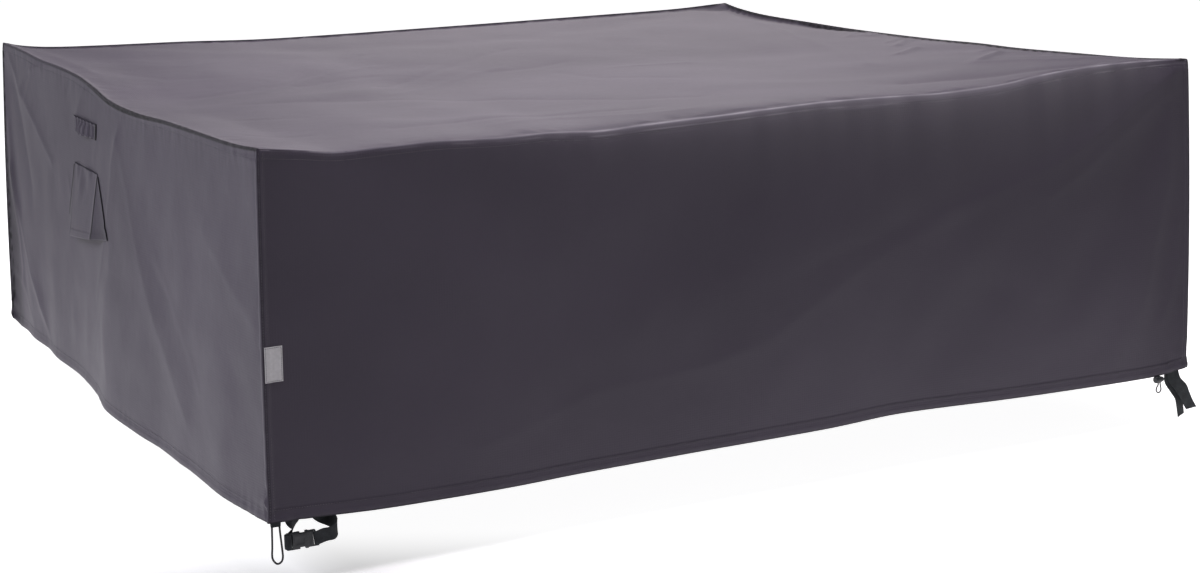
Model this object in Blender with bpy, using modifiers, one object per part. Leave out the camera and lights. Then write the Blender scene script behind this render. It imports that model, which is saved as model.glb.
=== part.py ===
"""A fitted cloth cover for patio furniture, modelled as it hangs over what it covers.

Five panels of coated woven cloth, each a thin sheet: a nearly square top that sags between its four
pulled-up corners, and four walls that hang from its edges and spread a little at the hem. On them are
sewn a gathered grab handle, a hooded air vent, a plain patch, a drawcord and two leg straps.

Metres, +Z up. +X runs along the long front, the front faces -Y and the end with the handle and the
vent faces -X. The origin is on the underside of the top, at its centre, where the cover is held up.
"""

import math
from collections import namedtuple

import bmesh
import bpy
from mathutils import Vector

for leftover in list(bpy.data.objects):
    bpy.data.objects.remove(leftover)

# ---------------------------------------------------------------- driving sizes

HALF_LENGTH = 1.08          # half of the long side, along X
HALF_DEPTH = 1.00           # half of the short side, along Y
CLOTH = 0.002               # thickness of the panels
GAP = 0.0003                # between pieces that are sewn to each other
SEAM_DROP = 0.0026          # from the top panel's upper face down to a wall's upper edge
WALL_HEIGHT = 0.70          # of a wall as cut, from the top's seam to its lower edge
HEM_WIDTH = 0.025           # the turned-up hem at the foot of each wall
HEM_RAISE = 0.0012          # how far the doubled cloth of the hem stands proud
LAP_WIDTH = 0.013           # the stitched lap of the front wall beside each corner
LAP_RAISE = 0.0012
STEP = 0.0025               # width of the step down from a lap or a hem
EDGE_BOW = 0.008            # how far the top's edges draw in between the corners
CORNER_BULGE = 0.003        # how far the corner seams swell out at half height
CROWN = 0.0142              # how far the middle of the top is held up above its slung edges
EDGE_CALM = 0.16            # within this distance of an edge the top's folds die out
SEAM_CALM = 0.05            # within this distance of a seam a wall's folds die out

TOP_COLUMNS, TOP_ROWS = 30, 28

WEBBING_WIDTH = 0.027
TAIL_WIDTH = 0.033          # of the two tails at the other corner
WEBBING = 0.0018            # thickness of the strap webbing
DRAWCORD = 0.004            # diameter of the drawcord
THIN_CORD = 0.003           # diameter of the cord at the cord lock

# ---------------------------------------------------------------- corners, edges and hems

# Heights are above the origin. A spread is how far the hem's corner stands out beyond the top's.
Corner = namedtuple("Corner", "x y top hem spread_x spread_y")
CORNERS = {
    "front_left": Corner(-HALF_LENGTH, -HALF_DEPTH, 0.030, -0.661, 0.016, 0.012),
    "front_right": Corner(HALF_LENGTH, -HALF_DEPTH, 0.046, -0.660, 0.020, 0.013),
    "back_left": Corner(-HALF_LENGTH, HALF_DEPTH, 0.051, -0.671, 0.025, 0.012),
    "back_right": Corner(HALF_LENGTH, HALF_DEPTH, 0.036, -0.668, 0.018, 0.012),
}

# Between its corners, each top edge sags: a row for each place where the seam rises or falls.
Height = namedtuple("Height", "along height")
FRONT_TOP = [Height(*row) for row in (
    (-0.99, 0.018), (-0.93, 0.010), (-0.82, 0.012), (-0.73, 0.013), (-0.60, 0.008), (-0.50, 0.009),
    (-0.39, 0.003), (-0.28, 0.007), (-0.10, 0.012), (0.10, 0.019), (0.26, 0.019), (0.42, 0.016),
    (0.57, 0.022), (0.72, 0.039), (0.86, 0.047), (0.99, 0.048),
)]
LEFT_TOP = [Height(*row) for row in (
    (-0.85, 0.021), (-0.61, 0.016), (-0.42, 0.012), (-0.21, 0.004), (0.00, 0.007), (0.15, 0.024),
    (0.28, 0.035), (0.44, 0.040), (0.64, 0.041), (0.78, 0.047), (0.90, 0.050),
)]
BACK_TOP = [Height(*row) for row in (
    (-1.03, 0.040), (-0.96, 0.033), (-0.83, 0.029), (-0.60, 0.025), (-0.42, 0.019), (-0.26, 0.018),
    (0.10, 0.020), (0.65, 0.025), (0.90, 0.028),
)]
RIGHT_TOP = [Height(*row) for row in (
    (-0.84, 0.035), (-0.63, 0.028), (-0.42, 0.022), (-0.27, 0.021), (-0.07, 0.016), (0.28, 0.013),
    (0.51, 0.015), (0.75, 0.018), (0.90, 0.026),
)]

# Each hem hangs lower and stands further out between the corners than at them.
Hem = namedtuple("Hem", "along height flare")
FRONT_HEM = [Hem(*row) for row in (
    (-0.99, -0.664, 0.012), (-0.86, -0.669, 0.014), (-0.63, -0.669, 0.018), (-0.45, -0.667, 0.012),
    (-0.23, -0.665, 0.010), (0.12, -0.661, 0.014), (0.31, -0.657, 0.008), (0.57, -0.664, 0.012),
    (0.73, -0.667, 0.015), (0.93, -0.671, 0.012), (1.02, -0.670, 0.010),
)]
LEFT_HEM = [Hem(*row) for row in (
    (-0.87, -0.668, 0.024), (-0.77, -0.669, 0.033), (-0.60, -0.671, 0.032), (-0.52, -0.671, 0.036),
    (-0.40, -0.673, 0.037), (-0.26, -0.674, 0.048), (-0.03, -0.676, 0.055), (0.13, -0.678, 0.033),
    (0.34, -0.680, 0.020), (0.53, -0.682, 0.024), (0.64, -0.683, 0.017), (0.77, -0.684, 0.021),
    (0.88, -0.686, 0.014), (0.96, -0.685, 0.017),
)]
BACK_HEM = [Hem(*row) for row in (
    (-0.90, -0.676, 0.016), (-0.55, -0.679, 0.022), (-0.20, -0.674, 0.012), (0.20, -0.677, 0.020),
    (0.60, -0.672, 0.013), (0.90, -0.674, 0.018),
)]
RIGHT_HEM = [Hem(*row) for row in (
    (-0.85, -0.667, 0.022), (-0.50, -0.671, 0.028), (-0.20, -0.668, 0.019), (0.15, -0.673, 0.030),
    (0.50, -0.670, 0.020), (0.85, -0.672, 0.024),
)]

# ---------------------------------------------------------------- folds

# A fold is a soft ridge (rise above 0) or trough (below 0) that runs from one place on its panel to
# another. On a wall the places are metres along it and metres above the origin.
Fold = namedtuple("Fold", "along height to_along to_height width rise")
LEFT_FOLDS = [Fold(*row) for row in (
    (0.97, 0.01, 0.82, -0.07, 0.022, 0.006),
    (0.82, -0.07, 0.60, -0.18, 0.040, 0.008),
    (0.96, -0.10, 0.86, -0.50, 0.040, -0.012),
    (0.97, -0.28, 0.80, -0.60, 0.030, 0.012),
    (0.86, -0.40, 0.70, -0.58, 0.028, 0.009),
    (0.78, -0.30, 0.63, -0.66, 0.045, -0.008),
    (0.70, -0.58, 0.60, -0.68, 0.026, 0.008),
    (0.50, -0.25, 0.46, -0.66, 0.060, -0.006),
    (-0.05, -0.08, -0.03, -0.34, 0.028, 0.007),
    (-0.02, -0.38, 0.12, -0.56, 0.030, 0.007),
    (-0.09, -0.22, -0.43, -0.44, 0.050, 0.009),
    (-0.43, -0.44, -0.62, -0.64, 0.045, 0.008),
    (-0.30, -0.20, -0.60, -0.48, 0.050, -0.008),
    (-0.62, -0.14, -0.96, -0.29, 0.040, 0.008),
    (-0.70, -0.30, -0.94, -0.50, 0.045, -0.006),
    (0.02, -0.50, -0.04, -0.67, 0.030, 0.009),
    (0.22, -0.48, 0.24, -0.67, 0.028, 0.007),
    (0.36, -0.52, 0.37, -0.67, 0.026, 0.006),
)]
FRONT_FOLDS = [Fold(*row) for row in (
    (1.02, 0.00, 0.45, -0.34, 0.060, 0.007),
    (1.00, -0.08, 0.72, -0.48, 0.050, -0.006),
    (1.03, -0.12, 0.90, -0.60, 0.040, 0.006),
    (0.40, -0.14, -0.20, -0.40, 0.090, 0.005),
    (0.10, -0.10, -0.45, -0.30, 0.080, -0.005),
    (-0.30, -0.36, -0.85, -0.58, 0.090, 0.005),
    (-0.98, -0.04, -0.66, -0.26, 0.060, 0.004),
    (0.56, -0.42, 0.30, -0.66, 0.070, -0.005),
)]
BACK_FOLDS = [Fold(*row) for row in (
    (-1.00, -0.02, -0.55, -0.42, 0.060, 0.007),
    (1.00, -0.02, 0.60, -0.40, 0.060, 0.007),
    (-0.20, -0.12, -0.05, -0.64, 0.080, 0.006),
    (0.35, -0.20, 0.20, -0.66, 0.070, -0.006),
    (-0.60, -0.44, -0.70, -0.68, 0.050, 0.006),
)]
RIGHT_FOLDS = [Fold(*row) for row in (
    (0.92, -0.02, 0.52, -0.44, 0.055, 0.008),
    (-0.94, -0.02, -0.62, -0.44, 0.055, 0.007),
    (0.10, -0.14, 0.04, -0.66, 0.070, 0.008),
    (-0.34, -0.24, -0.42, -0.66, 0.060, -0.006),
    (0.46, -0.44, 0.54, -0.68, 0.050, 0.007),
)]

# On the top the places are metres along X and Y.
TopFold = namedtuple("TopFold", "x y to_x to_y width rise")
TOP_FOLDS = [TopFold(*row) for row in (
    (-0.92, -0.16, -0.58, -0.13, 0.070, 0.007),
    (-0.58, -0.13, -0.26, 0.08, 0.080, 0.007),
    (-0.80, 0.10, -0.35, 0.22, 0.090, -0.005),
    (-0.72, -0.72, -0.30, -0.78, 0.070, 0.007),
    (-0.95, -0.86, -0.55, -0.52, 0.060, 0.005),
    (-0.96, 0.88, -0.50, 0.52, 0.080, 0.006),
    (-0.60, 0.74, 0.05, 0.60, 0.090, -0.005),
    (0.94, 0.86, 0.42, 0.44, 0.090, 0.008),
    (0.70, 0.84, 0.20, 0.62, 0.080, -0.006),
    (0.96, -0.86, 0.50, -0.46, 0.090, 0.008),
    (0.62, -0.78, 0.10, -0.62, 0.080, 0.006),
    (0.90, -0.40, 0.55, -0.05, 0.090, -0.006),
    (0.10, -0.30, 0.40, 0.20, 0.110, 0.004),
)]

# ---------------------------------------------------------------- small helpers

X, Y, Z = Vector((1, 0, 0)), Vector((0, 1, 0)), Vector((0, 0, 1))


def blend_rows(rows, at, column):
    """A smooth curve through one column of a table, read at a place along it."""
    spots = [row.along for row in rows]
    values = [getattr(row, column) for row in rows]
    last = len(spots) - 1
    at = min(max(at, spots[0]), spots[last])
    left = max(i for i in range(last) if spots[i] <= at)

    def slope(i):
        low, high = max(i - 1, 0), min(i + 1, last)
        return (values[high] - values[low]) / (spots[high] - spots[low])

    span = spots[left + 1] - spots[left]
    part = (at - spots[left]) / span
    ease = part * part * (3 - 2 * part)
    leaving = part * (1 - part) ** 2 * slope(left)
    arriving = part * part * (part - 1) * slope(left + 1)
    return values[left] * (1 - ease) + values[left + 1] * ease + span * (leaving + arriving)


def smooth_step(distance, reach):
    part = min(max(distance / reach, 0.0), 1.0)
    return part * part * (3 - 2 * part)


def ridge(spot, start, end, width):
    """1 on the line from start to end, falling away smoothly to each side and past its ends."""
    run = end - start
    part = min(max((spot - start).dot(run) / run.length_squared, 0.0), 1.0)
    away = (spot - start - run * part).length
    return math.exp(-((away / width) ** 2))


def spaced(low, high, count):
    return [low + (high - low) * i / count for i in range(count + 1)]


def bracket(spots, at):
    """The last spot at or before this place, by its number, and the share of the way to the next."""
    left = max((i for i in range(len(spots) - 1) if spots[i] <= at), default=0)
    return left, (at - spots[left]) / (spots[left + 1] - spots[left])


# ---------------------------------------------------------------- building pieces

PARTS = bpy.data.collections.new("patio_cover")
bpy.context.scene.collection.children.link(PARTS)
CUTTERS = bpy.data.collections.new("cutters")
bpy.context.scene.collection.children.link(CUTTERS)


def finish(name, color, roughness):
    """A plain finish of one piece."""
    material = bpy.data.materials.new(name)
    material.use_nodes = True
    shader = material.node_tree.nodes["Principled BSDF"]
    shader.inputs["Base Color"].default_value = (*color, 1.0)
    shader.inputs["Roughness"].default_value = roughness
    return material


CLOTH_COLOR = (0.075, 0.068, 0.082)
WEBBING_COLOR = (0.055, 0.062, 0.062)
PLASTIC_COLOR = (0.030, 0.034, 0.035)
CORD_COLOR = (0.014, 0.014, 0.016)
PATCH_COLOR = (0.300, 0.305, 0.315)


def add_object(name, data, color, roughness):
    piece = bpy.data.objects.new(name, data)
    data.materials.append(finish(name + "_finish", color, roughness))
    PARTS.objects.link(piece)
    return piece


def add_sheet(name, columns, rows, place, outward, thickness, color=CLOTH_COLOR, roughness=0.8):
    """A sheet from a flat grid: place(column, row) puts each corner on the sheet's outer face."""
    bm = bmesh.new()
    bmesh.ops.create_grid(bm, x_segments=len(columns) - 1, y_segments=len(rows) - 1, size=0.5)
    for vert in bm.verts:
        column = round((vert.co.x + 0.5) * (len(columns) - 1))
        row = round((vert.co.y + 0.5) * (len(rows) - 1))
        vert.co = place(columns[column], rows[row])
    bm.normal_update()
    facing = sum((face.normal * face.calc_area() for face in bm.faces), Vector())
    if facing.dot(outward) < 0:
        bmesh.ops.reverse_faces(bm, faces=bm.faces)
    mesh = bpy.data.meshes.new(name)
    bm.to_mesh(mesh)
    bm.free()
    mesh.shade_smooth()
    piece = add_object(name, mesh, color, roughness)
    solid = piece.modifiers.new("thickness", "SOLIDIFY")
    solid.thickness = thickness
    solid.offset = -1.0
    return piece


# ---------------------------------------------------------------- the four sides

Side = namedtuple("Side", "half plane along outward low high top hem folds")


def side(half, plane, along, outward, low, high, top, hem, folds):
    """Collects what shapes one side, with its tables carried on to the corners at both ends."""
    low_corner, high_corner = CORNERS[low], CORNERS[high]
    spread = "spread_y" if along is X else "spread_x"
    ends = [Hem(-half, low_corner.hem, getattr(low_corner, spread)),
            Hem(half, high_corner.hem, getattr(high_corner, spread))]
    edge = [Height(-half, low_corner.top), *top, Height(half, high_corner.top)]
    return Side(half, plane, along, outward, low_corner, high_corner, edge, [ends[0], *hem, ends[1]],
                folds)


FRONT = side(HALF_LENGTH, HALF_DEPTH, X, -Y, "front_left", "front_right",
             FRONT_TOP, FRONT_HEM, FRONT_FOLDS)
BACK = side(HALF_LENGTH, HALF_DEPTH, X, Y, "back_left", "back_right",
            BACK_TOP, BACK_HEM, BACK_FOLDS)
LEFT = side(HALF_DEPTH, HALF_LENGTH, Y, -X, "front_left", "back_left",
            LEFT_TOP, LEFT_HEM, LEFT_FOLDS)
RIGHT = side(HALF_DEPTH, HALF_LENGTH, Y, X, "front_right", "back_right",
             RIGHT_TOP, RIGHT_HEM, RIGHT_FOLDS)


def edge(face, at):
    """Height and inward bow of the top's edge, straight between the corners of the top's grid."""
    spots = spaced(-face.half, face.half, TOP_COLUMNS if face.along is X else TOP_ROWS)
    left, part = bracket(spots, at)
    heights = [blend_rows(face.top, spots[i], "height") for i in (left, left + 1)]
    bows = [EDGE_BOW * (1 - (spots[i] / face.half) ** 2) for i in (left, left + 1)]
    return tuple(pair[0] * (1 - part) + pair[1] * part for pair in (heights, bows))


def relief(face, at, height, top_height):
    """How far the folds push the wall out at this place on it."""
    spot = Vector((at, height))
    calm = smooth_step(face.half - abs(at), SEAM_CALM)
    calm *= smooth_step(top_height - height, SEAM_CALM)
    return calm * sum(
        fold.rise * ridge(
            spot,
            Vector((fold.along, fold.height)),
            Vector((fold.to_along, fold.to_height)),
            fold.width,
        )
        for fold in face.folds
    )


def wall_point(face, at, down, lift=0.0):
    """A place on a wall's outer face: metres along it, and 0 at its upper edge to 1 at its hem."""
    edge_height, bow = edge(face, at)
    top_height = edge_height - SEAM_DROP
    height = top_height + (blend_rows(face.hem, at, "height") - top_height) * down
    corner = face.high if at > 0 else face.low
    spread = corner.spread_x if face.along is X else corner.spread_y
    reach = at / face.half
    bulge = CORNER_BULGE * math.sin(math.pi * down)
    out = face.plane - bow * (1 - down) + blend_rows(face.hem, at, "flare") * down + bulge
    out += relief(face, at, height, top_height) + lift
    shift = spread * down * reach * abs(reach) + bulge * reach
    return face.along * (at + shift) + face.outward * out + Z * height


# ---------------------------------------------------------------- walls

HEM_SHARE = HEM_WIDTH / WALL_HEIGHT
STEP_SHARE = STEP / WALL_HEIGHT


def wall_rows(count):
    above = spaced(0.0, 1 - HEM_SHARE - STEP_SHARE, count)
    return [*above, 1 - HEM_SHARE, 1.0]


def wall_columns(face, count):
    """Places along a wall for its grid. The end walls stop inside the long walls' cloth."""
    if face.along is X:
        inner = [at for at in spaced(-face.half, face.half, count) if abs(at) < face.half - LAP_WIDTH]
        lap = [face.half - LAP_WIDTH - STEP, face.half - LAP_WIDTH, face.half]
        return [*(-at for at in reversed(lap)), *inner, *lap]
    tuck = CLOTH + GAP
    return [-face.half + tuck, *spaced(-face.half, face.half, count)[1:-1], face.half - tuck]


def raised(face, at, down):
    """The doubled cloth of the hem and, on the long walls, of the laps beside the corners."""
    in_hem = down > 1 - HEM_SHARE - STEP_SHARE / 2
    in_lap = face.along is X and abs(at) > face.half - LAP_WIDTH - STEP / 2
    return max(HEM_RAISE if in_hem else 0.0, LAP_RAISE if in_lap else 0.0)


Wall = namedtuple("Wall", "face columns rows")


def add_wall(name, face, column_count, row_count):
    columns, rows = wall_columns(face, column_count), wall_rows(row_count)
    add_sheet(
        name, columns, rows,
        lambda at, down: wall_point(face, at, down, raised(face, at, down)),
        face.outward, CLOTH,
    )
    return Wall(face, columns, rows)


front_wall = add_wall("front_panel", FRONT, TOP_COLUMNS, 9)
back_wall = add_wall("back_panel", BACK, TOP_COLUMNS, 7)
left_wall = add_wall("left_panel", LEFT, 2 * TOP_ROWS, 11)
right_wall = add_wall("right_panel", RIGHT, TOP_ROWS, 7)


def laid_on(wall, at, height, lift):
    """A place over a wall's cloth, which runs straight between the corners of the wall's grid."""
    face, (i, across) = wall.face, bracket(wall.columns, at)

    def line(column, row):
        down = wall.rows[row]
        return wall_point(face, wall.columns[column], down,
                          raised(face, wall.columns[column], down))

    sides = [line(i, row).lerp(line(i + 1, row), across) for row in range(len(wall.rows))]
    row = max((k for k in range(len(sides) - 1) if sides[k].z >= height), default=0)
    part = (height - sides[row].z) / (sides[row + 1].z - sides[row].z)
    return sides[row].lerp(sides[row + 1], part) + face.outward * lift


# ---------------------------------------------------------------- top

def top_relief(spot):
    calm = smooth_step(HALF_LENGTH - abs(spot.x), EDGE_CALM)
    calm *= smooth_step(HALF_DEPTH - abs(spot.y), EDGE_CALM)
    folds = sum(
        fold.rise * ridge(spot, Vector((fold.x, fold.y)), Vector((fold.to_x, fold.to_y)), fold.width)
        for fold in TOP_FOLDS
    )
    return calm * folds


def top_point(x, y):
    """A place on the top's upper face: the four slung edges blended across, then crowned."""
    across, deep = (x / HALF_LENGTH + 1) / 2, (y / HALF_DEPTH + 1) / 2
    (front, front_bow), (back, back_bow) = edge(FRONT, x), edge(BACK, x)
    (left, left_bow), (right, right_bow) = edge(LEFT, y), edge(RIGHT, y)
    corners = (
        (CORNERS["front_left"].top * (1 - across) + CORNERS["front_right"].top * across) * (1 - deep)
        + (CORNERS["back_left"].top * (1 - across) + CORNERS["back_right"].top * across) * deep
    )
    slung = front * (1 - deep) + back * deep + left * (1 - across) + right * across - corners
    crown = CROWN * (1 - (2 * across - 1) ** 4) * (1 - (2 * deep - 1) ** 4)
    return Vector((
        x + left_bow * (1 - across) - right_bow * across,
        y + front_bow * (1 - deep) - back_bow * deep,
        slung + crown + top_relief(Vector((x, y))),
    ))


add_sheet(
    "top_panel",
    spaced(-HALF_LENGTH, HALF_LENGTH, TOP_COLUMNS),
    spaced(-HALF_DEPTH, HALF_DEPTH, TOP_ROWS),
    top_point, Z, CLOTH,
)

# ---------------------------------------------------------------- plain patch beside the corner seam

PATCH_THICKNESS = 0.001
PATCH_LOW, PATCH_HIGH = -0.397, -0.331
PATCH_NEAR, PATCH_FAR = HALF_LENGTH - 0.003, HALF_LENGTH - 0.037
PATCH_LIFT = PATCH_THICKNESS + 0.0005       # its outer face over the wall
add_sheet(
    "corner_patch",
    [-PATCH_NEAR, LAP_WIDTH - HALF_LENGTH, LAP_WIDTH + STEP - HALF_LENGTH, -PATCH_FAR],
    spaced(PATCH_HIGH, PATCH_LOW, 3),
    lambda at, height: laid_on(front_wall, at, height, PATCH_LIFT),
    -Y, PATCH_THICKNESS, PATCH_COLOR, 0.55,
)

# ---------------------------------------------------------------- gathered grab handle

TRIM = 0.0015                       # thickness of the handle's and the vent's cloth
SEWN_LIFT = TRIM + 0.0006           # outer face of a trim where it is sewn down
HANDLE_NEAR, HANDLE_FAR = 0.112, 0.306
HANDLE_TOP, HANDLE_HEIGHT = -0.058, 0.035
HANDLE_STAND = 0.012                # how far its middle stands off for a hand
HANDLE_END = 0.10                   # share of its length that is sewn down at each end
PLEATS, PLEAT_RISE = 7, 0.0024


def handle_point(along, across):
    at = HANDLE_NEAR + (HANDLE_FAR - HANDLE_NEAR) * along
    free = smooth_step(min(along, 1 - along) - HANDLE_END, 0.5 - HANDLE_END)
    gather = smooth_step(min(along, 1 - along), HANDLE_END)
    pleat = PLEAT_RISE * gather * (1 - math.cos(2 * math.pi * PLEATS * along)) / 2
    lift = SEWN_LIFT + HANDLE_STAND * free + pleat
    return laid_on(left_wall, at, HANDLE_TOP - HANDLE_HEIGHT * across, lift)


add_sheet("grab_handle", spaced(0, 1, 4 * PLEATS), spaced(0, 1, 2), handle_point, -X, TRIM)

# ---------------------------------------------------------------- hooded air vent

VENT_TOP = -0.167                           # height of the flap's seam
VENT_FOOT_NEAR, VENT_FOOT_FAR = -0.312, -0.336    # heights of its free edge, which hangs askew
VENT_NEAR, VENT_FAR = 0.100, 0.304          # the flap's side edges
VENT_SHIFT = 0.010                          # how far its free edge lies nearer than its seam
VENT_STAND = 0.018                          # how far its free edge stands off the wall
VENT_BELLY = 0.002                          # and how much more its middle swells
GUSSET_FOOT = -0.297                        # the foot of each gusset's seam on the wall
FRONT_REACH, BACK_REACH = 0.118, 0.060      # how far that foot stands out beside the flap
GUSSET_START = 0.14                         # share of the flap's height above the gussets
GUSSET_LIFT = SEWN_LIFT + 0.0006            # its outer face where it is sewn to the wall
GUSSET_ROOT = 0.004                         # its width where it starts
GUSSET_CLEAR = 0.0010                       # beside the flap's edge


def seam_spot(across):
    """A place on the flap's upper seam."""
    return laid_on(left_wall, VENT_NEAR + (VENT_FAR - VENT_NEAR) * across, VENT_TOP, SEWN_LIFT)


FREE_NEAR = laid_on(left_wall, VENT_NEAR - VENT_SHIFT, VENT_FOOT_NEAR, SEWN_LIFT + VENT_STAND)
FREE_FAR = laid_on(left_wall, VENT_FAR - VENT_SHIFT, VENT_FOOT_FAR, SEWN_LIFT + VENT_STAND)


def flap_point(across, down):
    """The flap is drawn straight from its seam to its stiffened free edge."""
    free = FREE_NEAR.lerp(FREE_FAR, across) - X * VENT_BELLY * math.sin(math.pi * across)
    return seam_spot(across).lerp(free, down)


add_sheet("vent_flap", spaced(0, 1, 7), spaced(0, 1, 5), flap_point, -X, TRIM)


def add_gusset(name, edge_share, way, reach):
    """The cloth triangle that joins one side edge of the flap to the wall."""

    def place(across, down):
        edge_point = flap_point(edge_share, down) + Y * way * GUSSET_CLEAR
        base = VENT_NEAR if edge_share == 0 else VENT_FAR
        wall_at = base + way * (GUSSET_ROOT + reach * down)
        wall_height = VENT_TOP + (GUSSET_FOOT - VENT_TOP) * down
        return edge_point.lerp(laid_on(left_wall, wall_at, wall_height, GUSSET_LIFT), across)

    add_sheet(name, spaced(0, 1, 4), spaced(GUSSET_START, 1, 4), place, -X, TRIM)


add_gusset("vent_gusset_front", 0, -1, FRONT_REACH)
add_gusset("vent_gusset_back", 1, 1, BACK_REACH)

# ---------------------------------------------------------------- webbing straps

# A row for each turn of a strap: where its middle is, and which way its width lies.
Turn = namedtuple("Turn", "x y z wide_x wide_y wide_z")


def through(rows, samples):
    """A smooth curve through every column of a table of turns."""
    points = []
    for k in range(samples + 1):
        left, part = bracket(list(range(len(rows))), (len(rows) - 1) * k / samples)
        ring = [rows[min(max(left + step, 0), len(rows) - 1)] for step in (-1, 0, 1, 2)]
        points.append([
            0.5 * (2 * b + (c - a) * part + (2 * a - 5 * b + 4 * c - d) * part ** 2
                   + (3 * b - a - 3 * c + d) * part ** 3)
            for a, b, c, d in zip(*ring)
        ])
    return points


def add_strap(name, rows, samples, width=WEBBING_WIDTH):
    """A length of webbing along its turns, flat or twisted as they say."""
    spots = through(rows, samples)

    def place(sample, across):
        spot = spots[sample]
        wide = Vector(spot[3:]).normalized()
        return Vector(spot[:3]) + wide * across * width

    strap = add_sheet(name, list(range(samples + 1)), [-0.5, 0.0, 0.5], place, -Y, WEBBING,
                      WEBBING_COLOR, 0.85)
    strap.modifiers["thickness"].offset = 0.0


HEM_INSIDE = -1.0094        # middle of webbing sewn to the inside of the front hem

STRAP_TAB = [Turn(*row) for row in (
    (-1.0510, HEM_INSIDE, -0.6420, 1.00, 0.00, 0.00),
    (-1.0510, HEM_INSIDE, -0.6620, 1.00, 0.05, 0.00),
    (-1.0500, -1.0060, -0.6740, 0.72, 0.68, -0.10),
    (-1.0480, -0.9990, -0.6850, 0.30, 0.85, -0.42),
    (-1.0500, -0.9950, -0.6960, 0.05, 0.45, -0.88),
    (-1.0560, -0.9985, -0.7030, 0.00, 0.08, -1.00),
    (-1.0610, -1.0012, -0.7040, 0.00, 0.00, -1.00),
    (-1.0650, -1.0040, -0.7040, 0.00, 0.00, -1.00),
    (-1.0656, -1.0080, -0.7040, 0.00, 0.00, -1.00),
    (-1.0646, -1.0125, -0.7040, 0.00, 0.00, -1.00),
    (-1.0605, -1.0147, -0.7040, 0.00, 0.00, -1.00),
    (-1.0562, -1.0132, -0.7040, 0.00, 0.00, -1.00),
    (-1.0554, -1.0090, -0.7040, 0.00, 0.00, -1.00),
)]
add_strap("strap_tab", STRAP_TAB, 36)

LEG_STRAP = [Turn(*row) for row in (
    (-1.0096, -1.0060, -0.7040, -0.14, 0.00, 0.99),
    (-1.0094, -1.0110, -0.7040, -0.14, 0.00, 0.99),
    (-1.0060, -1.0140, -0.7035, -0.16, 0.00, 0.98),
    (-0.9900, -1.0138, -0.7000, -0.24, 0.00, 0.96),
    (-0.9740, -1.0110, -0.7000, -0.32, 0.00, 0.95),
    (-0.9610, -1.0000, -0.6955, -0.15, -0.20, 0.96),
    (-0.9570, -0.9850, -0.6910, 0.05, -0.28, 0.96),
    (-0.9640, -0.9720, -0.6860, 0.35, 0.00, 0.94),
    (-0.9790, -0.9670, -0.6780, 0.62, 0.10, 0.78),
    (-0.9920, -0.9750, -0.6660, 0.82, 0.20, 0.52),
    (-0.9980, -0.9900, -0.6560, 0.95, 0.12, 0.28),
    (-0.9990, -1.0040, -0.6490, 0.99, 0.02, 0.10),
    (-0.9990, HEM_INSIDE, -0.6420, 1.00, 0.00, 0.00),
)]
add_strap("leg_strap", LEG_STRAP, 40)

# The other corner's strap hangs undone, as two tails sewn in one on the other.
FRONT_TAIL = [Turn(*row) for row in (
    (1.0655, -1.0091, -0.6460, 1.00, -0.04, 0.00),
    (1.0655, -1.0091, -0.6580, 1.00, -0.04, 0.00),
    (1.0660, -1.0092, -0.6710, 1.00, -0.04, 0.04),
    (1.0710, -1.0110, -0.6870, 0.98, -0.10, 0.16),
    (1.0850, -1.0155, -0.7040, 0.96, -0.10, 0.24),
    (1.0970, -1.0145, -0.7210, 0.97, 0.08, 0.18),
    (1.1100, -1.0125, -0.7410, 0.98, 0.12, 0.10),
    (1.1240, -1.0115, -0.7610, 0.99, 0.08, 0.04),
)]
add_strap("front_tail", FRONT_TAIL, 20, TAIL_WIDTH)

REAR_TAIL = [Turn(*row) for row in (
    (1.0600, -1.0067, -0.6460, 1.00, -0.04, 0.00),
    (1.0600, -1.0067, -0.6580, 1.00, -0.04, 0.00),
    (1.0600, -1.0067, -0.6710, 1.00, -0.04, 0.00),
    (1.0630, -1.0062, -0.6900, 0.99, -0.04, 0.10),
    (1.0800, -1.0060, -0.7120, 0.93, 0.10, 0.30),
    (1.0880, -1.0055, -0.7260, 0.95, 0.25, 0.10),
    (1.0925, -1.0050, -0.7400, 0.92, 0.36, 0.00),
    (1.0995, -1.0050, -0.7760, 0.90, 0.42, 0.06),
)]
add_strap("rear_tail", REAR_TAIL, 20, TAIL_WIDTH)

# ---------------------------------------------------------------- side-release buckle

BUCKLE_MIDDLE, BUCKLE_HEIGHT = -1.008, -0.704       # across its thickness, and above the origin
SLOT_HEIGHT = WEBBING_WIDTH + 0.002

# Blocks of the buckle: where each starts and ends along X, its height and its thickness.
Block = namedtuple("Block", "start end height thickness")
SOCKET = Block(-1.0630, -1.0215, 0.034, 0.0090)
SOCKET_SLOT = Block(-1.0585, -1.0525, SLOT_HEIGHT, 0.030)
PLUG = Block(-1.0212, -1.0040, 0.0315, 0.0075)
PLUG_SLOT = Block(-1.0120, -1.0072, SLOT_HEIGHT, 0.030)
NOTCH = Block(-1.0380, -1.0270, 0.0080, 0.030)
BUCKLE_ROUNDING = 0.0018
PLUG_LEAN = math.tan(math.radians(-12))     # the webbing leaves upwards, so the plug's end leans


def block_mesh(block, height, lean):
    """A block with its place in its mesh. With a lean, it tips more and more towards the plug's end."""
    bm = bmesh.new()
    bmesh.ops.create_cube(bm, size=1.0)
    for vert in bm.verts:
        along = (block.start + block.end) / 2 + vert.co.x * (block.end - block.start)
        up = vert.co.z * block.height
        share = (along - PLUG.start) / (PLUG.end - PLUG.start)
        thick = BUCKLE_MIDDLE + vert.co.y * block.thickness
        vert.co = Vector((along + lean * share * up, thick, height + up))
    mesh = bpy.data.meshes.new("block")
    bm.to_mesh(mesh)
    bm.free()
    return mesh


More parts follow.
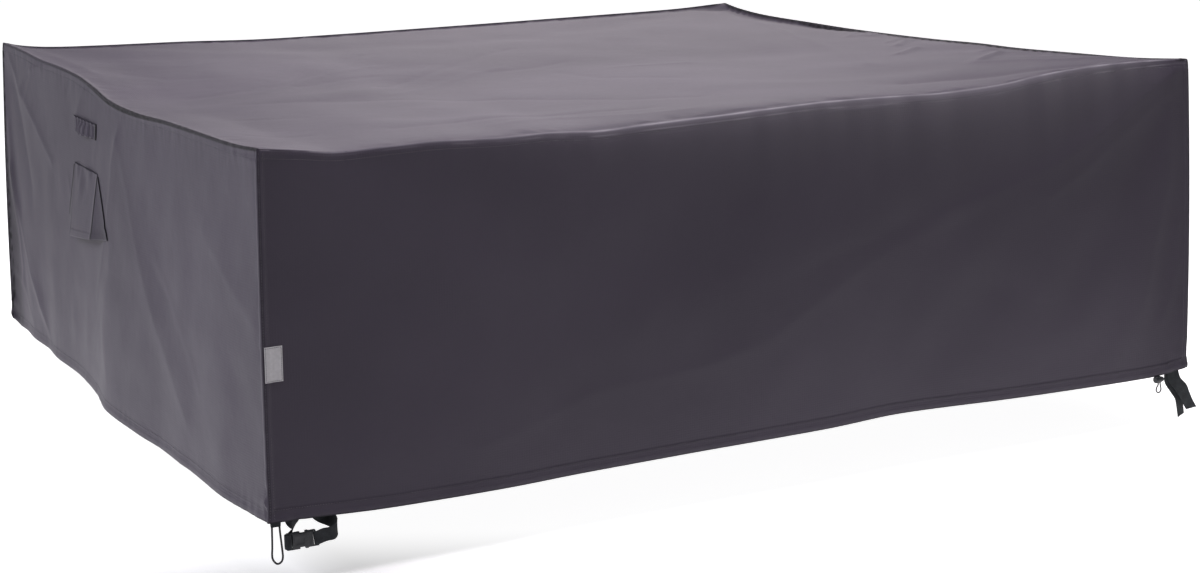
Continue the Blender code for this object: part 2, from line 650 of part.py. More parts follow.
def add_block(name, block, lean=0.0):
    piece = add_object(name, block_mesh(block, BUCKLE_HEIGHT, lean), PLASTIC_COLOR, 0.45)
    rounding = piece.modifiers.new("rounding", "BEVEL")
    rounding.width = BUCKLE_ROUNDING
    rounding.segments = 2
    return piece


def cut(piece, block, height=BUCKLE_HEIGHT, lean=0.0):
    cutter = bpy.data.objects.new(piece.name + "_cutter", block_mesh(block, height, lean))
    cutter.hide_render = True
    cutter.display_type = "WIRE"
    CUTTERS.objects.link(cutter)
    boolean = piece.modifiers.new("cut", "BOOLEAN")
    boolean.operation = "DIFFERENCE"
    boolean.solver = "EXACT"
    boolean.object = cutter


socket = add_block("buckle_socket", SOCKET)
cut(socket, SOCKET_SLOT)
for rim in (-1, 1):
    cut(socket, NOTCH, BUCKLE_HEIGHT + rim * SOCKET.height / 2)
plug = add_block("buckle_plug", PLUG, PLUG_LEAN)
cut(plug, PLUG_SLOT, lean=PLUG_LEAN)

# ---------------------------------------------------------------- drawcord, its tab and its lock


def add_cord(name, rows, diameter, samples):
    """A cord along a smooth curve through its route's points, with flat ends."""
    spots = through(rows, samples)
    curve = bpy.data.curves.new(name, "CURVE")
    curve.dimensions = "3D"
    line = curve.splines.new("POLY")
    line.points.add(len(spots) - 1)
    for point, spot in zip(line.points, spots):
        point.co = (*spot, 1.0)
    curve.bevel_depth = diameter / 2
    curve.bevel_resolution = 2
    curve.use_fill_caps = True
    add_object(name, curve, CORD_COLOR, 0.7)


TAB_TOP, TAB_FOOT = -0.6480, -0.6710
TAB_MIDDLE, TAB_THICKNESS = -1.0829, 0.0030
TAB_FACE = -1.0106                  # its outer face, inside the front hem
TAB_HALF_WIDTH, TAB_TAPER = 0.0115, 0.0020


def tab_point(across, down):
    half = TAB_HALF_WIDTH - TAB_TAPER * down
    return Vector((TAB_MIDDLE + across * half, TAB_FACE, TAB_TOP + (TAB_FOOT - TAB_TOP) * down))


add_sheet("drawcord_tab", [-1, 0, 1], spaced(0, 1, 2), tab_point, -Y, TAB_THICKNESS, WEBBING_COLOR)

DRAWCORD_LOOP = (
    (-1.0902, -1.0091, -0.6713),
    (-1.0905, -1.0094, -0.6800),
    (-1.0913, -1.0104, -0.6950),
    (-1.0922, -1.0112, -0.7100),
    (-1.0932, -1.0116, -0.7210),
    (-1.0927, -1.0118, -0.7295),
    (-1.0893, -1.0118, -0.7365),
    (-1.0842, -1.0116, -0.7410),
    (-1.0788, -1.0114, -0.7405),
    (-1.0742, -1.0112, -0.7362),
    (-1.0725, -1.0110, -0.7290),
    (-1.0727, -1.0106, -0.7200),
    (-1.0736, -1.0100, -0.7050),
    (-1.0746, -1.0094, -0.6900),
    (-1.0753, -1.0092, -0.6790),
    (-1.0756, -1.0091, -0.6713),
)
add_cord("drawcord_loop", DRAWCORD_LOOP, DRAWCORD, 30)

LOCK_MIDDLE, LOCK_DEPTH = 1.0225, -1.0130           # along X and Y
LOCK_RADIUS = 0.0082
LOCK_HEIGHT = -0.6703 - GAP - LOCK_RADIUS           # hangs right under the hem's edge

LOCK_LOOP = (
    (1.0205, -1.0130, -0.6878),
    (1.0196, -1.0132, -0.6915),
    (1.0166, -1.0136, -0.6955),
    (1.0143, -1.0138, -0.7005),
    (1.0150, -1.0140, -0.7055),
    (1.0190, -1.0140, -0.7090),
    (1.0240, -1.0140, -0.7088),
    (1.0276, -1.0140, -0.7050),
    (1.0280, -1.0138, -0.7000),
    (1.0266, -1.0134, -0.6940),
    (1.0252, -1.0130, -0.6878),
)
add_cord("lock_loop", LOCK_LOOP, THIN_CORD, 24)

# Turned profiles about the lock's own axis, which lies along X: a row for each ring of the outline.
Ring = namedtuple("Ring", "along radius")
LOCK_BARREL = [Ring(*row) for row in (
    (0.0030, 0.0), (0.0030, 0.0074), (0.0010, 0.0082), (-0.0080, 0.0082), (-0.0105, 0.0078),
    (-0.0125, 0.0062), (-0.0125, 0.0),
)]
LOCK_BUTTON = [Ring(*row) for row in (
    (0.0105, 0.0), (0.0105, 0.0046), (0.0085, 0.0060), (0.0033, 0.0060), (0.0033, 0.0),
)]


def add_turned(name, rings, steps):
    mesh = bpy.data.meshes.new(name)
    outline = [(ring.along, 0.0, ring.radius) for ring in rings]
    mesh.from_pydata(outline, [(i, i + 1) for i in range(len(outline) - 1)], [])
    piece = add_object(name, mesh, PLASTIC_COLOR, 0.45)
    piece.location = (LOCK_MIDDLE, LOCK_DEPTH, LOCK_HEIGHT)
    turned = piece.modifiers.new("turned", "SCREW")
    turned.axis = "X"
    turned.steps = turned.render_steps = steps
    turned.use_merge_vertices = True
    turned.merge_threshold = 0.0001
    turned.use_smooth_shade = True
    return piece


add_turned("lock_barrel", LOCK_BARREL, 16)
add_turned("lock_button", LOCK_BUTTON, 16)
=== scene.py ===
# %% [markdown]
# # A fitted patio furniture cover
#
# The object is a big cloth cover: a nearly square top that sags between four pulled-up corners, and
# four walls that hang from its edges down to a stitched hem. A gathered grab handle and a hooded air
# vent are sewn on the left end, a plain patch on the front-left corner, and webbing straps, a buckle, a
# drawcord and its cord lock hang at the front corners.
#
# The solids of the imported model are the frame. This lesson dresses them: every cloth is rebuilt as a
# much finer sheet on the same lines, with the creases, seams, hems and stitches that make cloth look
# like cloth. Everything is in metres: +X runs along the long front, the front faces -Y, +Z is up, and
# the origin is on the underside of the top at its centre.

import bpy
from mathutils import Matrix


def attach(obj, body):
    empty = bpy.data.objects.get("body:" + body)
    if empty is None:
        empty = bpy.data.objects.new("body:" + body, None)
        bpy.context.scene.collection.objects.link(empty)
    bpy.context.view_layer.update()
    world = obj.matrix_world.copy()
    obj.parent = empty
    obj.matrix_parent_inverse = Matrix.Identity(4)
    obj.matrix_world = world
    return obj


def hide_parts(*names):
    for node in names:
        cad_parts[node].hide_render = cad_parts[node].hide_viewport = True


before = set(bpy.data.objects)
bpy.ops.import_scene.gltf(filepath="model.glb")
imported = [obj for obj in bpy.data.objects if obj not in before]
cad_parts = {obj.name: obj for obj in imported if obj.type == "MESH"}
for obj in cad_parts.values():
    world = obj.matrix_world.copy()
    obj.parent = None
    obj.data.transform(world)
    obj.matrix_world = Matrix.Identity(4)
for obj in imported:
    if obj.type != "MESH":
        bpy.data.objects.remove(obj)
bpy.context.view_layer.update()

import math
from collections import namedtuple

import bmesh
import bpy
import numpy as np
from mathutils import Matrix, Vector

print("solids in the frame:", ", ".join(sorted(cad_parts)))

# %% [markdown]
# ## The camera
#
# A camera is two things: where it stands and how long its lens is. Both were worked out from the
# corners of the cover, so that the four edges of the top and the two hems run the way they do in the
# photograph. The small roll is the tilt of the hand that held the real camera.

# %% Camera at the photograph's angle
EYE = Vector((-2.28725, -4.63986, 0.59490))
AIM = Vector((-0.36707, -0.93862, -0.31500))
ROLL = math.radians(-0.99)
LENS_MM, FILM_WIDTH_MM = 64.72, 36.0


def aimed(eye, aim, roll=0.0):
    """A placement at eye that looks at aim, turned about its own line of sight by roll."""
    ahead = (aim - eye).normalized()
    right = ahead.cross(Vector((0, 0, 1))).normalized()
    up = right.cross(ahead)
    level_right, level_up = right.copy(), up.copy()
    right = level_right * math.cos(roll) + level_up * math.sin(roll)
    up = level_up * math.cos(roll) - level_right * math.sin(roll)
    turned = Matrix((right, up, -ahead)).transposed()
    return Matrix.Translation(eye) @ turned.to_4x4()


camera_data = bpy.data.cameras.new("camera")
camera_data.lens, camera_data.sensor_width = LENS_MM, FILM_WIDTH_MM
camera_data.sensor_fit = "HORIZONTAL"
camera = bpy.data.objects.new("camera", camera_data)
camera.matrix_world = aimed(EYE, AIM, ROLL)
bpy.context.scene.collection.objects.link(camera)
bpy.context.scene.camera = camera
print(f"camera {EYE.length:.2f} m from the middle of the top, lens {LENS_MM} mm")

# %% [markdown]
# ## Floor and light
#
# The photograph is a studio shot on white. The floor is a wide pale sheet that also glows, like the
# light table of a product studio, so that the cover's own shadow on it stays faint. Of the three large
# soft lamps one hangs over the front edge, one high behind the cover and one off its left end. Together
# they make the top the lightest face, the left end the middle one and the long front the darkest.

# %% Floor, world and lamps
FLOOR_HEIGHT, FLOOR_HALF = -0.785, 60.0
FLOOR_GLOW = 0.95
# Near the cover the floor glows less where the camera doesn't see it, so that the walls keep their
# shading. Each row is a direction over the floor, and how far along it the camera's view begins.
OUT_OF_VIEW = ((0.976, -0.217, -1.48), (0.503, 0.864, -1.08), (-0.734, 0.679, -1.60))
FADE_WIDTH, FADED = 0.5, 0.10
FAR_OFF = (4.2, 8.0)        # from here on it glows fully all round, too far off to light the walls
WORLD_LIGHT = 0.12
LAMP_AIM = Vector((-0.2, 0.0, -0.2))


def plain_material(name, color, roughness):
    material = bpy.data.materials.new(name)
    material.use_nodes = True
    shader = material.node_tree.nodes["Principled BSDF"]
    shader.inputs["Base Color"].default_value = (*color, 1.0)
    shader.inputs["Roughness"].default_value = roughness
    return material


def add_node(tree, kind, inputs=(), **settings):
    """A new node with its settings. Each input is given as a value or as the output to link to it."""
    node = tree.nodes.new(kind)
    for key, value in settings.items():
        setattr(node, key, value)
    for key, value in dict(inputs).items():
        if isinstance(value, bpy.types.NodeSocket):
            tree.links.new(value, node.inputs[key])
        else:
            node.inputs[key].default_value = value
    return node


def eased(tree, value, start, end, low, high):
    """Goes softly from low to high while the value goes from start to end."""
    spans = {"Value": value, "From Min": start, "From Max": end, "To Min": low, "To Max": high}
    return add_node(tree, "ShaderNodeMapRange", spans, interpolation_type="SMOOTHSTEP").outputs["Result"]


def table(kind, rows):
    return [kind(*row) for row in rows]


floor_mesh = bpy.data.meshes.new("studio_floor")
floor_mesh.from_pydata(
    [(x * FLOOR_HALF, y * FLOOR_HALF, FLOOR_HEIGHT) for x, y in ((-1, -1), (1, -1), (1, 1), (-1, 1))],
    [], [(0, 1, 2, 3)])
floor = bpy.data.objects.new("studio_floor", floor_mesh)
floor_paint = plain_material("pale_floor", (0.60, 0.60, 0.60), 0.9)
floor_tree = floor_paint.node_tree
floor_place = add_node(floor_tree, "ShaderNodeTexCoord").outputs["Object"]
strength = FLOOR_GLOW
for across_x, across_y, start in OUT_OF_VIEW:
    across = add_node(floor_tree, "ShaderNodeVectorMath", {0: floor_place, 1: (across_x, across_y, 0.0)},
                      operation="DOT_PRODUCT")
    fade = eased(floor_tree, across.outputs["Value"], start - FADE_WIDTH, start, FADED, 1.0)
    strength = add_node(floor_tree, "ShaderNodeMath", {0: fade, 1: strength},
                        operation="MULTIPLY").outputs[0]
reach = add_node(floor_tree, "ShaderNodeVectorMath", {0: floor_place}, operation="LENGTH")
far = eased(floor_tree, reach.outputs["Value"], *FAR_OFF, 0.0, FLOOR_GLOW)
strongest = add_node(floor_tree, "ShaderNodeMath", {0: strength, 1: far}, operation="MAXIMUM")
glow = floor_tree.nodes["Principled BSDF"]
glow.inputs["Emission Color"].default_value = (1.0, 1.0, 1.0, 1.0)
floor_tree.links.new(strongest.outputs[0], glow.inputs["Emission Strength"])
floor_mesh.materials.append(floor_paint)
bpy.context.scene.collection.objects.link(floor)

world = bpy.data.worlds.new("studio")
world.use_nodes = True
sky = world.node_tree.nodes["Background"]
sky.inputs["Color"].default_value = (0.96, 0.97, 1.0, 1.0)
sky.inputs["Strength"].default_value = WORLD_LIGHT
bpy.context.scene.world = world
bpy.context.scene.view_settings.view_transform = "Standard"

Lamp = namedtuple("Lamp", "name place size power color")
LAMPS = table(Lamp, (
    ("overhead", (0.2, -1.0, 4.2), 2.4, 225.0, (1.00, 0.93, 0.99)),
    ("behind", (2.6, 4.8, 2.6), 4.0, 126.0, (1.00, 0.92, 0.96)),
    ("left_end", (-4.8, -0.7, 3.0), 2.2, 205.0, (0.92, 0.92, 1.00)),
))
for lamp in LAMPS:
    data = bpy.data.lights.new(lamp.name, "AREA")
    data.shape, data.size, data.energy, data.color = "SQUARE", lamp.size, lamp.power, lamp.color
    hung = bpy.data.objects.new(lamp.name, data)
    hung.matrix_world = aimed(Vector(lamp.place), LAMP_AIM)
    bpy.context.scene.collection.objects.link(hung)
print("lamps:", ", ".join(lamp.name for lamp in LAMPS))

# %% [markdown]
# ## Materials
#
# The cloth is a coated polyester: dark purple-grey, nearly matt, with a fine square ripstop weave. The
# weave is a texture, since its threads are half a millimetre wide. It is drawn on the flat map of each
# panel, in metres, so the squares keep their size and follow the folds. Each sheet also carries an
# attribute called `seam`: above 0 painted shade darkens the cloth along seams, edges and corners, and
# below 0 a painted highlight makes it paler along the rolled front fold. The webbing, the cords, the
# moulded plastic and the bare patch each get their own finish.

# %% Procedural materials
WEAVE_PITCH = 0.0052        # between the thicker threads of the ripstop squares
BAND = 0.314159             # width of one band of the wave texture at a scale of 1
# The colour of the painted shade and the colour of the painted highlight that the seam attribute mixes in.
PAINTED_SHADE_COLOR, PAINTED_HIGHLIGHT_COLOR = (0.004, 0.004, 0.005, 1.0), (0.27, 0.255, 0.28, 1.0)


def new_material(name, color, roughness, sheen=0.0, specular=0.5):
    material = plain_material(name, color, roughness)
    shader = material.node_tree.nodes["Principled BSDF"]
    for socket, value in (("Sheen Weight", sheen), ("Sheen Roughness", 0.45),
                          ("Specular IOR Level", specular)):
        shader.inputs[socket].default_value = value
    return material, material.node_tree, shader


def colored_by_noise(tree, shader, place, scale, dark, light):
    """Base colour that drifts between two tones over the piece."""
    noise = add_node(tree, "ShaderNodeTexNoise",
                     {"Vector": place, "Scale": scale, "Detail": 3.0}).outputs["Fac"]
    ramp = add_node(tree, "ShaderNodeValToRGB", {"Fac": noise})
    for element, spot, color in zip(ramp.color_ramp.elements, (0.32, 0.68), (dark, light)):
        element.position, element.color = spot, (*color, 1.0)
    tree.links.new(ramp.outputs["Color"], shader.inputs["Base Color"])
    return noise


def paint_shade_and_highlight(tree, shader):
    """Paints shade into the base colour where the sheet's seam attribute is above 0, and a highlight where
    it is below 0.
    """
    plain = shader.inputs["Base Color"].links[0].from_socket
    seam = add_node(tree, "ShaderNodeAttribute", attribute_name="seam").outputs["Fac"]
    for way, color in ((-1.0, PAINTED_HIGHLIGHT_COLOR), (1.0, PAINTED_SHADE_COLOR)):
        share = add_node(tree, "ShaderNodeMath", {0: seam, 1: way}, operation="MULTIPLY", use_clamp=True)
        mix = add_node(tree, "ShaderNodeMixRGB",
                       {"Fac": share.outputs[0], "Color1": plain, "Color2": color})
        plain = mix.outputs["Color"]
    tree.links.new(plain, shader.inputs["Base Color"])
    # Where shade is painted the shine goes too: seen flat along the cloth, the shine is most of its light.
    level = shader.inputs["Specular IOR Level"]
    shine = add_node(tree, "ShaderNodeMapRange",
                     {"Value": seam, "To Min": level.default_value, "To Max": 0.0})
    tree.links.new(shine.outputs["Result"], level)


def bumped(tree, height, strength, distance, below=None):
    inputs = {"Height": height, "Strength": strength, "Distance": distance}
    if below:
        inputs["Normal"] = below
    return add_node(tree, "ShaderNodeBump", inputs).outputs["Normal"]


def threads(tree, place, pitch, direction):
    """Parallel threads of this pitch, as a soft wave across the flat map."""
    return add_node(tree, "ShaderNodeTexWave",
                    {"Vector": place, "Scale": BAND / pitch, "Distortion": 0.0},
                    wave_type="BANDS", bands_direction=direction, wave_profile="SIN").outputs["Fac"]


def cloth_material(name, dark, light, weave):
    material, tree, shader = new_material(name, light, 0.60, 0.10, 0.35)
    place = add_node(tree, "ShaderNodeTexCoord").outputs["UV"]
    colored_by_noise(tree, shader, place, 1.3, dark, light)
    paint_shade_and_highlight(tree, shader)
    warp, weft = (threads(tree, place, WEAVE_PITCH, way) for way in ("X", "Y"))
    thick = add_node(tree, "ShaderNodeMath", {0: warp, 1: weft}, operation="MAXIMUM")
    narrow = add_node(tree, "ShaderNodeMath", {0: thick.outputs[0], 1: 6.0}, operation="POWER")
    rumple = add_node(tree, "ShaderNodeTexNoise",
                      {"Vector": place, "Scale": 26.0, "Detail": 4.0, "Roughness": 0.55})
    soft = bumped(tree, rumple.outputs["Fac"], 0.25, 0.004)
    tree.links.new(bumped(tree, narrow.outputs[0], weave, 0.0004, soft), shader.inputs["Normal"])
    return material


def webbing_material(name, dark, light, pitch):
    material, tree, shader = new_material(name, light, 0.85, 0.04, 0.25)
    place = add_node(tree, "ShaderNodeTexCoord").outputs["UV"]
    colored_by_noise(tree, shader, place, 60.0, dark, light)
    ribs = bumped(tree, threads(tree, place, pitch, "Y"), 0.6, 0.0006)
    weft = bumped(tree, threads(tree, place, pitch * 1.9, "X"), 0.5, 0.0005, ribs)
    tree.links.new(weft, shader.inputs["Normal"])
    return material


def grained_material(name, dark, light, roughness, scale, bump, depth, sheen=0.0):
    """A finish by the piece's own place in the room: moulded plastic, cord and thread."""
    material, tree, shader = new_material(name, light, roughness, sheen)
    place = add_node(tree, "ShaderNodeTexCoord").outputs["Object"]
    noise = colored_by_noise(tree, shader, place, scale, dark, light)
    tree.links.new(bumped(tree, noise, bump, depth), shader.inputs["Normal"])
    return material


CLOTH_PAINT = cloth_material("coated_cloth", (0.033, 0.0265, 0.041), (0.050, 0.0412, 0.0598), 0.45)
TRIM_PAINT = cloth_material("trim_cloth", (0.034, 0.0275, 0.0425), (0.048, 0.0398, 0.0575), 0.3)
WEBBING_PAINT = webbing_material("woven_webbing", (0.018, 0.020, 0.022), (0.036, 0.040, 0.044), 0.0016)
CORD_PAINT, PLASTIC_PAINT, PATCH_PAINT, THREAD_PAINT = (grained_material(*row) for row in (
    ("braided_cord", (0.006, 0.006, 0.007), (0.020, 0.020, 0.023), 0.7, 900, 0.6, 0.0004, 0.2),
    ("moulded_plastic", (0.014, 0.016, 0.018), (0.024, 0.027, 0.030), 0.42, 350, 0.15, 0.0002),
    ("bare_patch", (0.46, 0.452, 0.462), (0.52, 0.51, 0.52), 0.55, 220, 0.12, 0.0003),
    ("sewing_thread", (0.050, 0.047, 0.056), (0.110, 0.104, 0.118), 0.6, 500, 0.3, 0.0002, 0.2)))
print("materials:", ", ".join(material.name for material in bpy.data.materials))

# %% [markdown]
# ## The shape of the cloth, as a rule
#
# On the real cover five panels are cut flat and sewn edge to edge, and then the furniture and gravity
# give them their shape. One way to get there is a cloth simulation, but its folds would fall where they
# like. Here each panel is a rule instead: short tables say how high each seam and hem hangs, and a
# function turns a place on the flat panel into a place in the room. The tables are the same ones that
# the solids were made from, so the fine cloth lies where the solid lies.

# %% Sizes and tables of the seams and hems
HALF_LENGTH, HALF_DEPTH = 1.08, 1.00
SEAM_DROP = 0.0026          # from the top panel's upper face down to a wall's upper edge
WALL_HEIGHT = 0.70
HEM_WIDTH, HEM_RAISE = 0.025, 0.0012
LAP_WIDTH, LAP_RAISE = 0.013, 0.0012
STEP = 0.0025
EDGE_BOW, CORNER_BULGE, CROWN = 0.008, 0.003, 0.0142
EDGE_CALM, SEAM_CALM = 0.16, 0.05   # within these distances of an edge or a seam the folds die out
# The solids' folds are drawn softer here, and creases are added.
FOLD_SHARE = {"front": 0.6, "left": 0.2, "back": 0.6, "right": 0.6}
FRONT_RAISED = 0.0022       # how much higher the front wall starts where it rolls over from the top
CORNER_EVEN = 0.003         # at a corner seam nothing changes within this distance, so both walls meet
TOPSTITCH = 0.016           # the topstitched row below the upper seam
LAP_ROWS = (0.0035, 0.0105) # the two stitched rows of a corner lap

# Heights are above the origin. A spread is how far the hem's corner stands out beyond the top's.
Corner = namedtuple("Corner", "x y top hem spread_x spread_y")
CORNERS = {
    "front_left": Corner(-HALF_LENGTH, -HALF_DEPTH, 0.030, -0.661, 0.016, 0.012),
    "front_right": Corner(HALF_LENGTH, -HALF_DEPTH, 0.046, -0.660, 0.020, 0.013),
    "back_left": Corner(-HALF_LENGTH, HALF_DEPTH, 0.051, -0.671, 0.025, 0.012),
    "back_right": Corner(HALF_LENGTH, HALF_DEPTH, 0.036, -0.668, 0.018, 0.012),
}

# Between its corners, each top edge sags: a row for each place where the seam rises or falls.
Height = namedtuple("Height", "along height")
FRONT_TOP = table(Height, (
    (-0.99, 0.018), (-0.93, 0.010), (-0.82, 0.012), (-0.73, 0.013), (-0.60, 0.008), (-0.50, 0.009),
    (-0.39, 0.003), (-0.28, 0.007), (-0.10, 0.012), (0.10, 0.019), (0.26, 0.019), (0.42, 0.016),
    (0.57, 0.022), (0.72, 0.039), (0.86, 0.047), (0.99, 0.048),
))
LEFT_TOP = table(Height, (
    (-0.85, 0.021), (-0.61, 0.016), (-0.42, 0.012), (-0.21, 0.004), (0.00, 0.007), (0.15, 0.024),
    (0.28, 0.035), (0.44, 0.040), (0.64, 0.041), (0.78, 0.047), (0.90, 0.050),
))
BACK_TOP = table(Height, (
    (-1.03, 0.040), (-0.96, 0.033), (-0.83, 0.029), (-0.60, 0.025), (-0.42, 0.019), (-0.26, 0.018),
    (0.10, 0.020), (0.65, 0.025), (0.90, 0.028),
))
RIGHT_TOP = table(Height, (
    (-0.84, 0.035), (-0.63, 0.028), (-0.42, 0.022), (-0.27, 0.021), (-0.07, 0.016), (0.28, 0.013),
    (0.51, 0.015), (0.75, 0.018), (0.90, 0.026),
))

# Each hem hangs lower and stands further out between the corners than at them.
Hem = namedtuple("Hem", "along height flare")
FRONT_HEM = table(Hem, (
    (-0.99, -0.664, 0.012), (-0.86, -0.669, 0.014), (-0.63, -0.669, 0.018), (-0.45, -0.667, 0.012),
    (-0.23, -0.665, 0.010), (0.12, -0.661, 0.014), (0.31, -0.657, 0.008), (0.57, -0.664, 0.012),
    (0.73, -0.667, 0.015), (0.93, -0.671, 0.012), (1.02, -0.670, 0.010),
))
LEFT_HEM = table(Hem, (
    (-0.87, -0.668, 0.024), (-0.77, -0.669, 0.033), (-0.60, -0.671, 0.032), (-0.52, -0.671, 0.036),
    (-0.40, -0.673, 0.037), (-0.26, -0.674, 0.048), (-0.03, -0.676, 0.055), (0.13, -0.678, 0.033),
    (0.34, -0.680, 0.020), (0.53, -0.682, 0.024), (0.64, -0.683, 0.017), (0.77, -0.684, 0.021),
    (0.88, -0.686, 0.014), (0.96, -0.685, 0.017),
))
BACK_HEM = table(Hem, (
    (-0.90, -0.676, 0.016), (-0.55, -0.679, 0.022), (-0.20, -0.674, 0.012), (0.20, -0.677, 0.020),
    (0.60, -0.672, 0.013), (0.90, -0.674, 0.018),
))
RIGHT_HEM = table(Hem, (
    (-0.85, -0.667, 0.022), (-0.50, -0.671, 0.028), (-0.20, -0.668, 0.019), (0.15, -0.673, 0.030),
    (0.50, -0.670, 0.020), (0.85, -0.672, 0.024),
))


# A fold is a soft ridge (rise above 0) or trough (below 0) that runs from one place on its panel to
# another. On a wall the places are metres along it and metres above the origin.
Fold = namedtuple("Fold", "along height to_along to_height width rise")
LEFT_FOLDS = table(Fold, (
    (0.97, 0.01, 0.82, -0.07, 0.022, 0.006),
    (0.82, -0.07, 0.60, -0.18, 0.040, 0.008),
    (0.96, -0.10, 0.86, -0.50, 0.040, -0.012),
    (0.97, -0.28, 0.80, -0.60, 0.030, 0.012),
    (0.86, -0.40, 0.70, -0.58, 0.028, 0.009),
    (0.78, -0.30, 0.63, -0.66, 0.045, -0.008),
    (0.70, -0.58, 0.60, -0.68, 0.026, 0.008),
    (0.50, -0.25, 0.46, -0.66, 0.060, -0.006),
    (-0.05, -0.08, -0.03, -0.34, 0.028, 0.007),
    (-0.02, -0.38, 0.12, -0.56, 0.030, 0.007),
    (-0.09, -0.22, -0.43, -0.44, 0.050, 0.009),
    (-0.43, -0.44, -0.62, -0.64, 0.045, 0.008),
    (-0.30, -0.20, -0.60, -0.48, 0.050, -0.008),
    (-0.62, -0.14, -0.96, -0.29, 0.040, 0.008),
    (-0.70, -0.30, -0.94, -0.50, 0.045, -0.006),
    (0.02, -0.50, -0.04, -0.67, 0.030, 0.009),
    (0.22, -0.48, 0.24, -0.67, 0.028, 0.007),
    (0.36, -0.52, 0.37, -0.67, 0.026, 0.006),
))
FRONT_FOLDS = table(Fold, (
    (1.02, 0.00, 0.45, -0.34, 0.060, 0.007),
    (1.00, -0.08, 0.72, -0.48, 0.050, -0.006),
    (1.03, -0.12, 0.90, -0.60, 0.040, 0.006),
    (0.40, -0.14, -0.20, -0.40, 0.090, 0.005),
    (0.10, -0.10, -0.45, -0.30, 0.080, -0.005),
    (-0.30, -0.36, -0.85, -0.58, 0.090, 0.005),
    (-0.98, -0.04, -0.66, -0.26, 0.060, 0.004),
    (0.56, -0.42, 0.30, -0.66, 0.070, -0.005),
))
BACK_FOLDS = table(Fold, (
    (-1.00, -0.02, -0.55, -0.42, 0.060, 0.007),
    (1.00, -0.02, 0.60, -0.40, 0.060, 0.007),
    (-0.20, -0.12, -0.05, -0.64, 0.080, 0.006),
    (0.35, -0.20, 0.20, -0.66, 0.070, -0.006),
    (-0.60, -0.44, -0.70, -0.68, 0.050, 0.006),
))
RIGHT_FOLDS = table(Fold, (
    (0.92, -0.02, 0.52, -0.44, 0.055, 0.008),
    (-0.94, -0.02, -0.62, -0.44, 0.055, 0.007),
    (0.10, -0.14, 0.04, -0.66, 0.070, 0.008),
    (-0.34, -0.24, -0.42, -0.66, 0.060, -0.006),
    (0.46, -0.44, 0.54, -0.68, 0.050, 0.007),
))

# On the top the places are metres along X and Y.
TopFold = namedtuple("TopFold", "x y to_x to_y width rise")
TOP_FOLDS = table(TopFold, (
    (-0.92, -0.16, -0.58, -0.13, 0.070, 0.007),
    (-0.58, -0.13, -0.26, 0.08, 0.080, 0.007),
    (-0.80, 0.10, -0.35, 0.22, 0.090, -0.005),
    (-0.72, -0.72, -0.30, -0.78, 0.070, 0.007),
    (-0.95, -0.86, -0.55, -0.52, 0.060, 0.005),
    (-0.96, 0.88, -0.50, 0.52, 0.080, 0.006),
    (-0.60, 0.74, 0.05, 0.60, 0.090, -0.005),
    (0.94, 0.86, 0.42, 0.44, 0.090, 0.008),
    (0.70, 0.84, 0.20, 0.62, 0.080, -0.006),
    (0.96, -0.86, 0.50, -0.46, 0.090, 0.008),
    (0.62, -0.78, 0.10, -0.62, 0.080, 0.006),
    (0.90, -0.40, 0.55, -0.05, 0.090, -0.006),
    (0.10, -0.30, 0.40, 0.20, 0.110, 0.004),
))

# A crease is a narrow fold through several points of its panel, given as u, v, u, v and so on.
Crease = namedtuple("Crease", "width rise line")
LEFT_CREASES = table(Crease, (
    (0.010, 0.0032, (0.938, 0.022, 0.841, -0.055, 0.717, -0.107, 0.626, -0.148, 0.528, -0.192)),
    (0.050, -0.0060, (0.908, -0.057, 0.853, -0.127, 0.801, -0.202, 0.763, -0.286)),
    (0.010, 0.0030, (0.965, -0.161, 0.953, -0.261, 0.934, -0.342, 0.903, -0.418, 0.886, -0.505, 0.890,
     -0.553)),
    (0.010, 0.0032, (0.953, -0.261, 0.915, -0.352, 0.854, -0.439, 0.789, -0.509, 0.705, -0.581, 0.615,
     -0.663)),
    (0.009, 0.0020, (0.996, -0.532, 0.893, -0.562, 0.820, -0.611, 0.778, -0.650)),
    (0.009, 0.0022, (0.827, -0.046, 0.744, 0.005, 0.571, 0.033)),
    (0.009, 0.0016, (0.778, -0.063, 0.707, 0.007)),
    (0.009, 0.0014, (0.831, -0.026, 0.622, 0.032)),
    (0.009, -0.0016, (0.380, -0.012, 0.329, 0.035)),
    (0.009, 0.0018, (0.295, -0.059, 0.216, 0.016)),
    (0.008, 0.0014, (0.212, 0.002, 0.141, 0.035)),
    (0.008, 0.0012, (0.160, 0.008, 0.091, 0.027)),
    (0.009, 0.0018, (-0.068, -0.046, -0.028, -0.131, -0.016, -0.213, 0.001, -0.273, 0.034, -0.326, 0.070,
     -0.392, 0.109, -0.447)),
    (0.012, 0.0008, (0.183, -0.535, 0.276, -0.616)),
    (0.022, 0.0018, (-0.057, -0.075, -0.159, -0.181, -0.221, -0.260, -0.298, -0.353, -0.362, -0.413,
     -0.457, -0.487, -0.565, -0.572)),
    (0.018, -0.0008, (-0.275, -0.274, -0.361, -0.314, -0.445, -0.353)),
    (0.018, 0.0012, (-0.354, -0.277, -0.515, -0.383, -0.633, -0.490)),
    (0.018, 0.0013, (-0.672, -0.175, -0.809, -0.233, -0.950, -0.295)),
    (0.018, -0.0008, (-0.612, -0.155, -0.718, -0.199, -0.813, -0.246)),
    (0.013, 0.0034, (-0.486, 0.018, -0.755, 0.007, -1.010, 0.005)),
    (0.014, -0.0020, (-0.734, 0.024, -0.882, 0.018, -1.010, 0.015)),
    (0.009, -0.0014, (0.032, -0.444, 0.128, -0.572)),
    (0.008, 0.0014, (0.125, -0.647, 0.164, -0.718)),
    (0.009, 0.0010, (0.338, -0.573, 0.402, -0.638)),
    (0.009, 0.0010, (0.111, -0.625, 0.087, -0.667, 0.060, -0.698)),
    (0.009, 0.0012, (0.369, -0.342, 0.356, -0.264, 0.378, -0.208)),
    (0.009, 0.0012, (0.114, -0.097, 0.143, -0.141)),
))
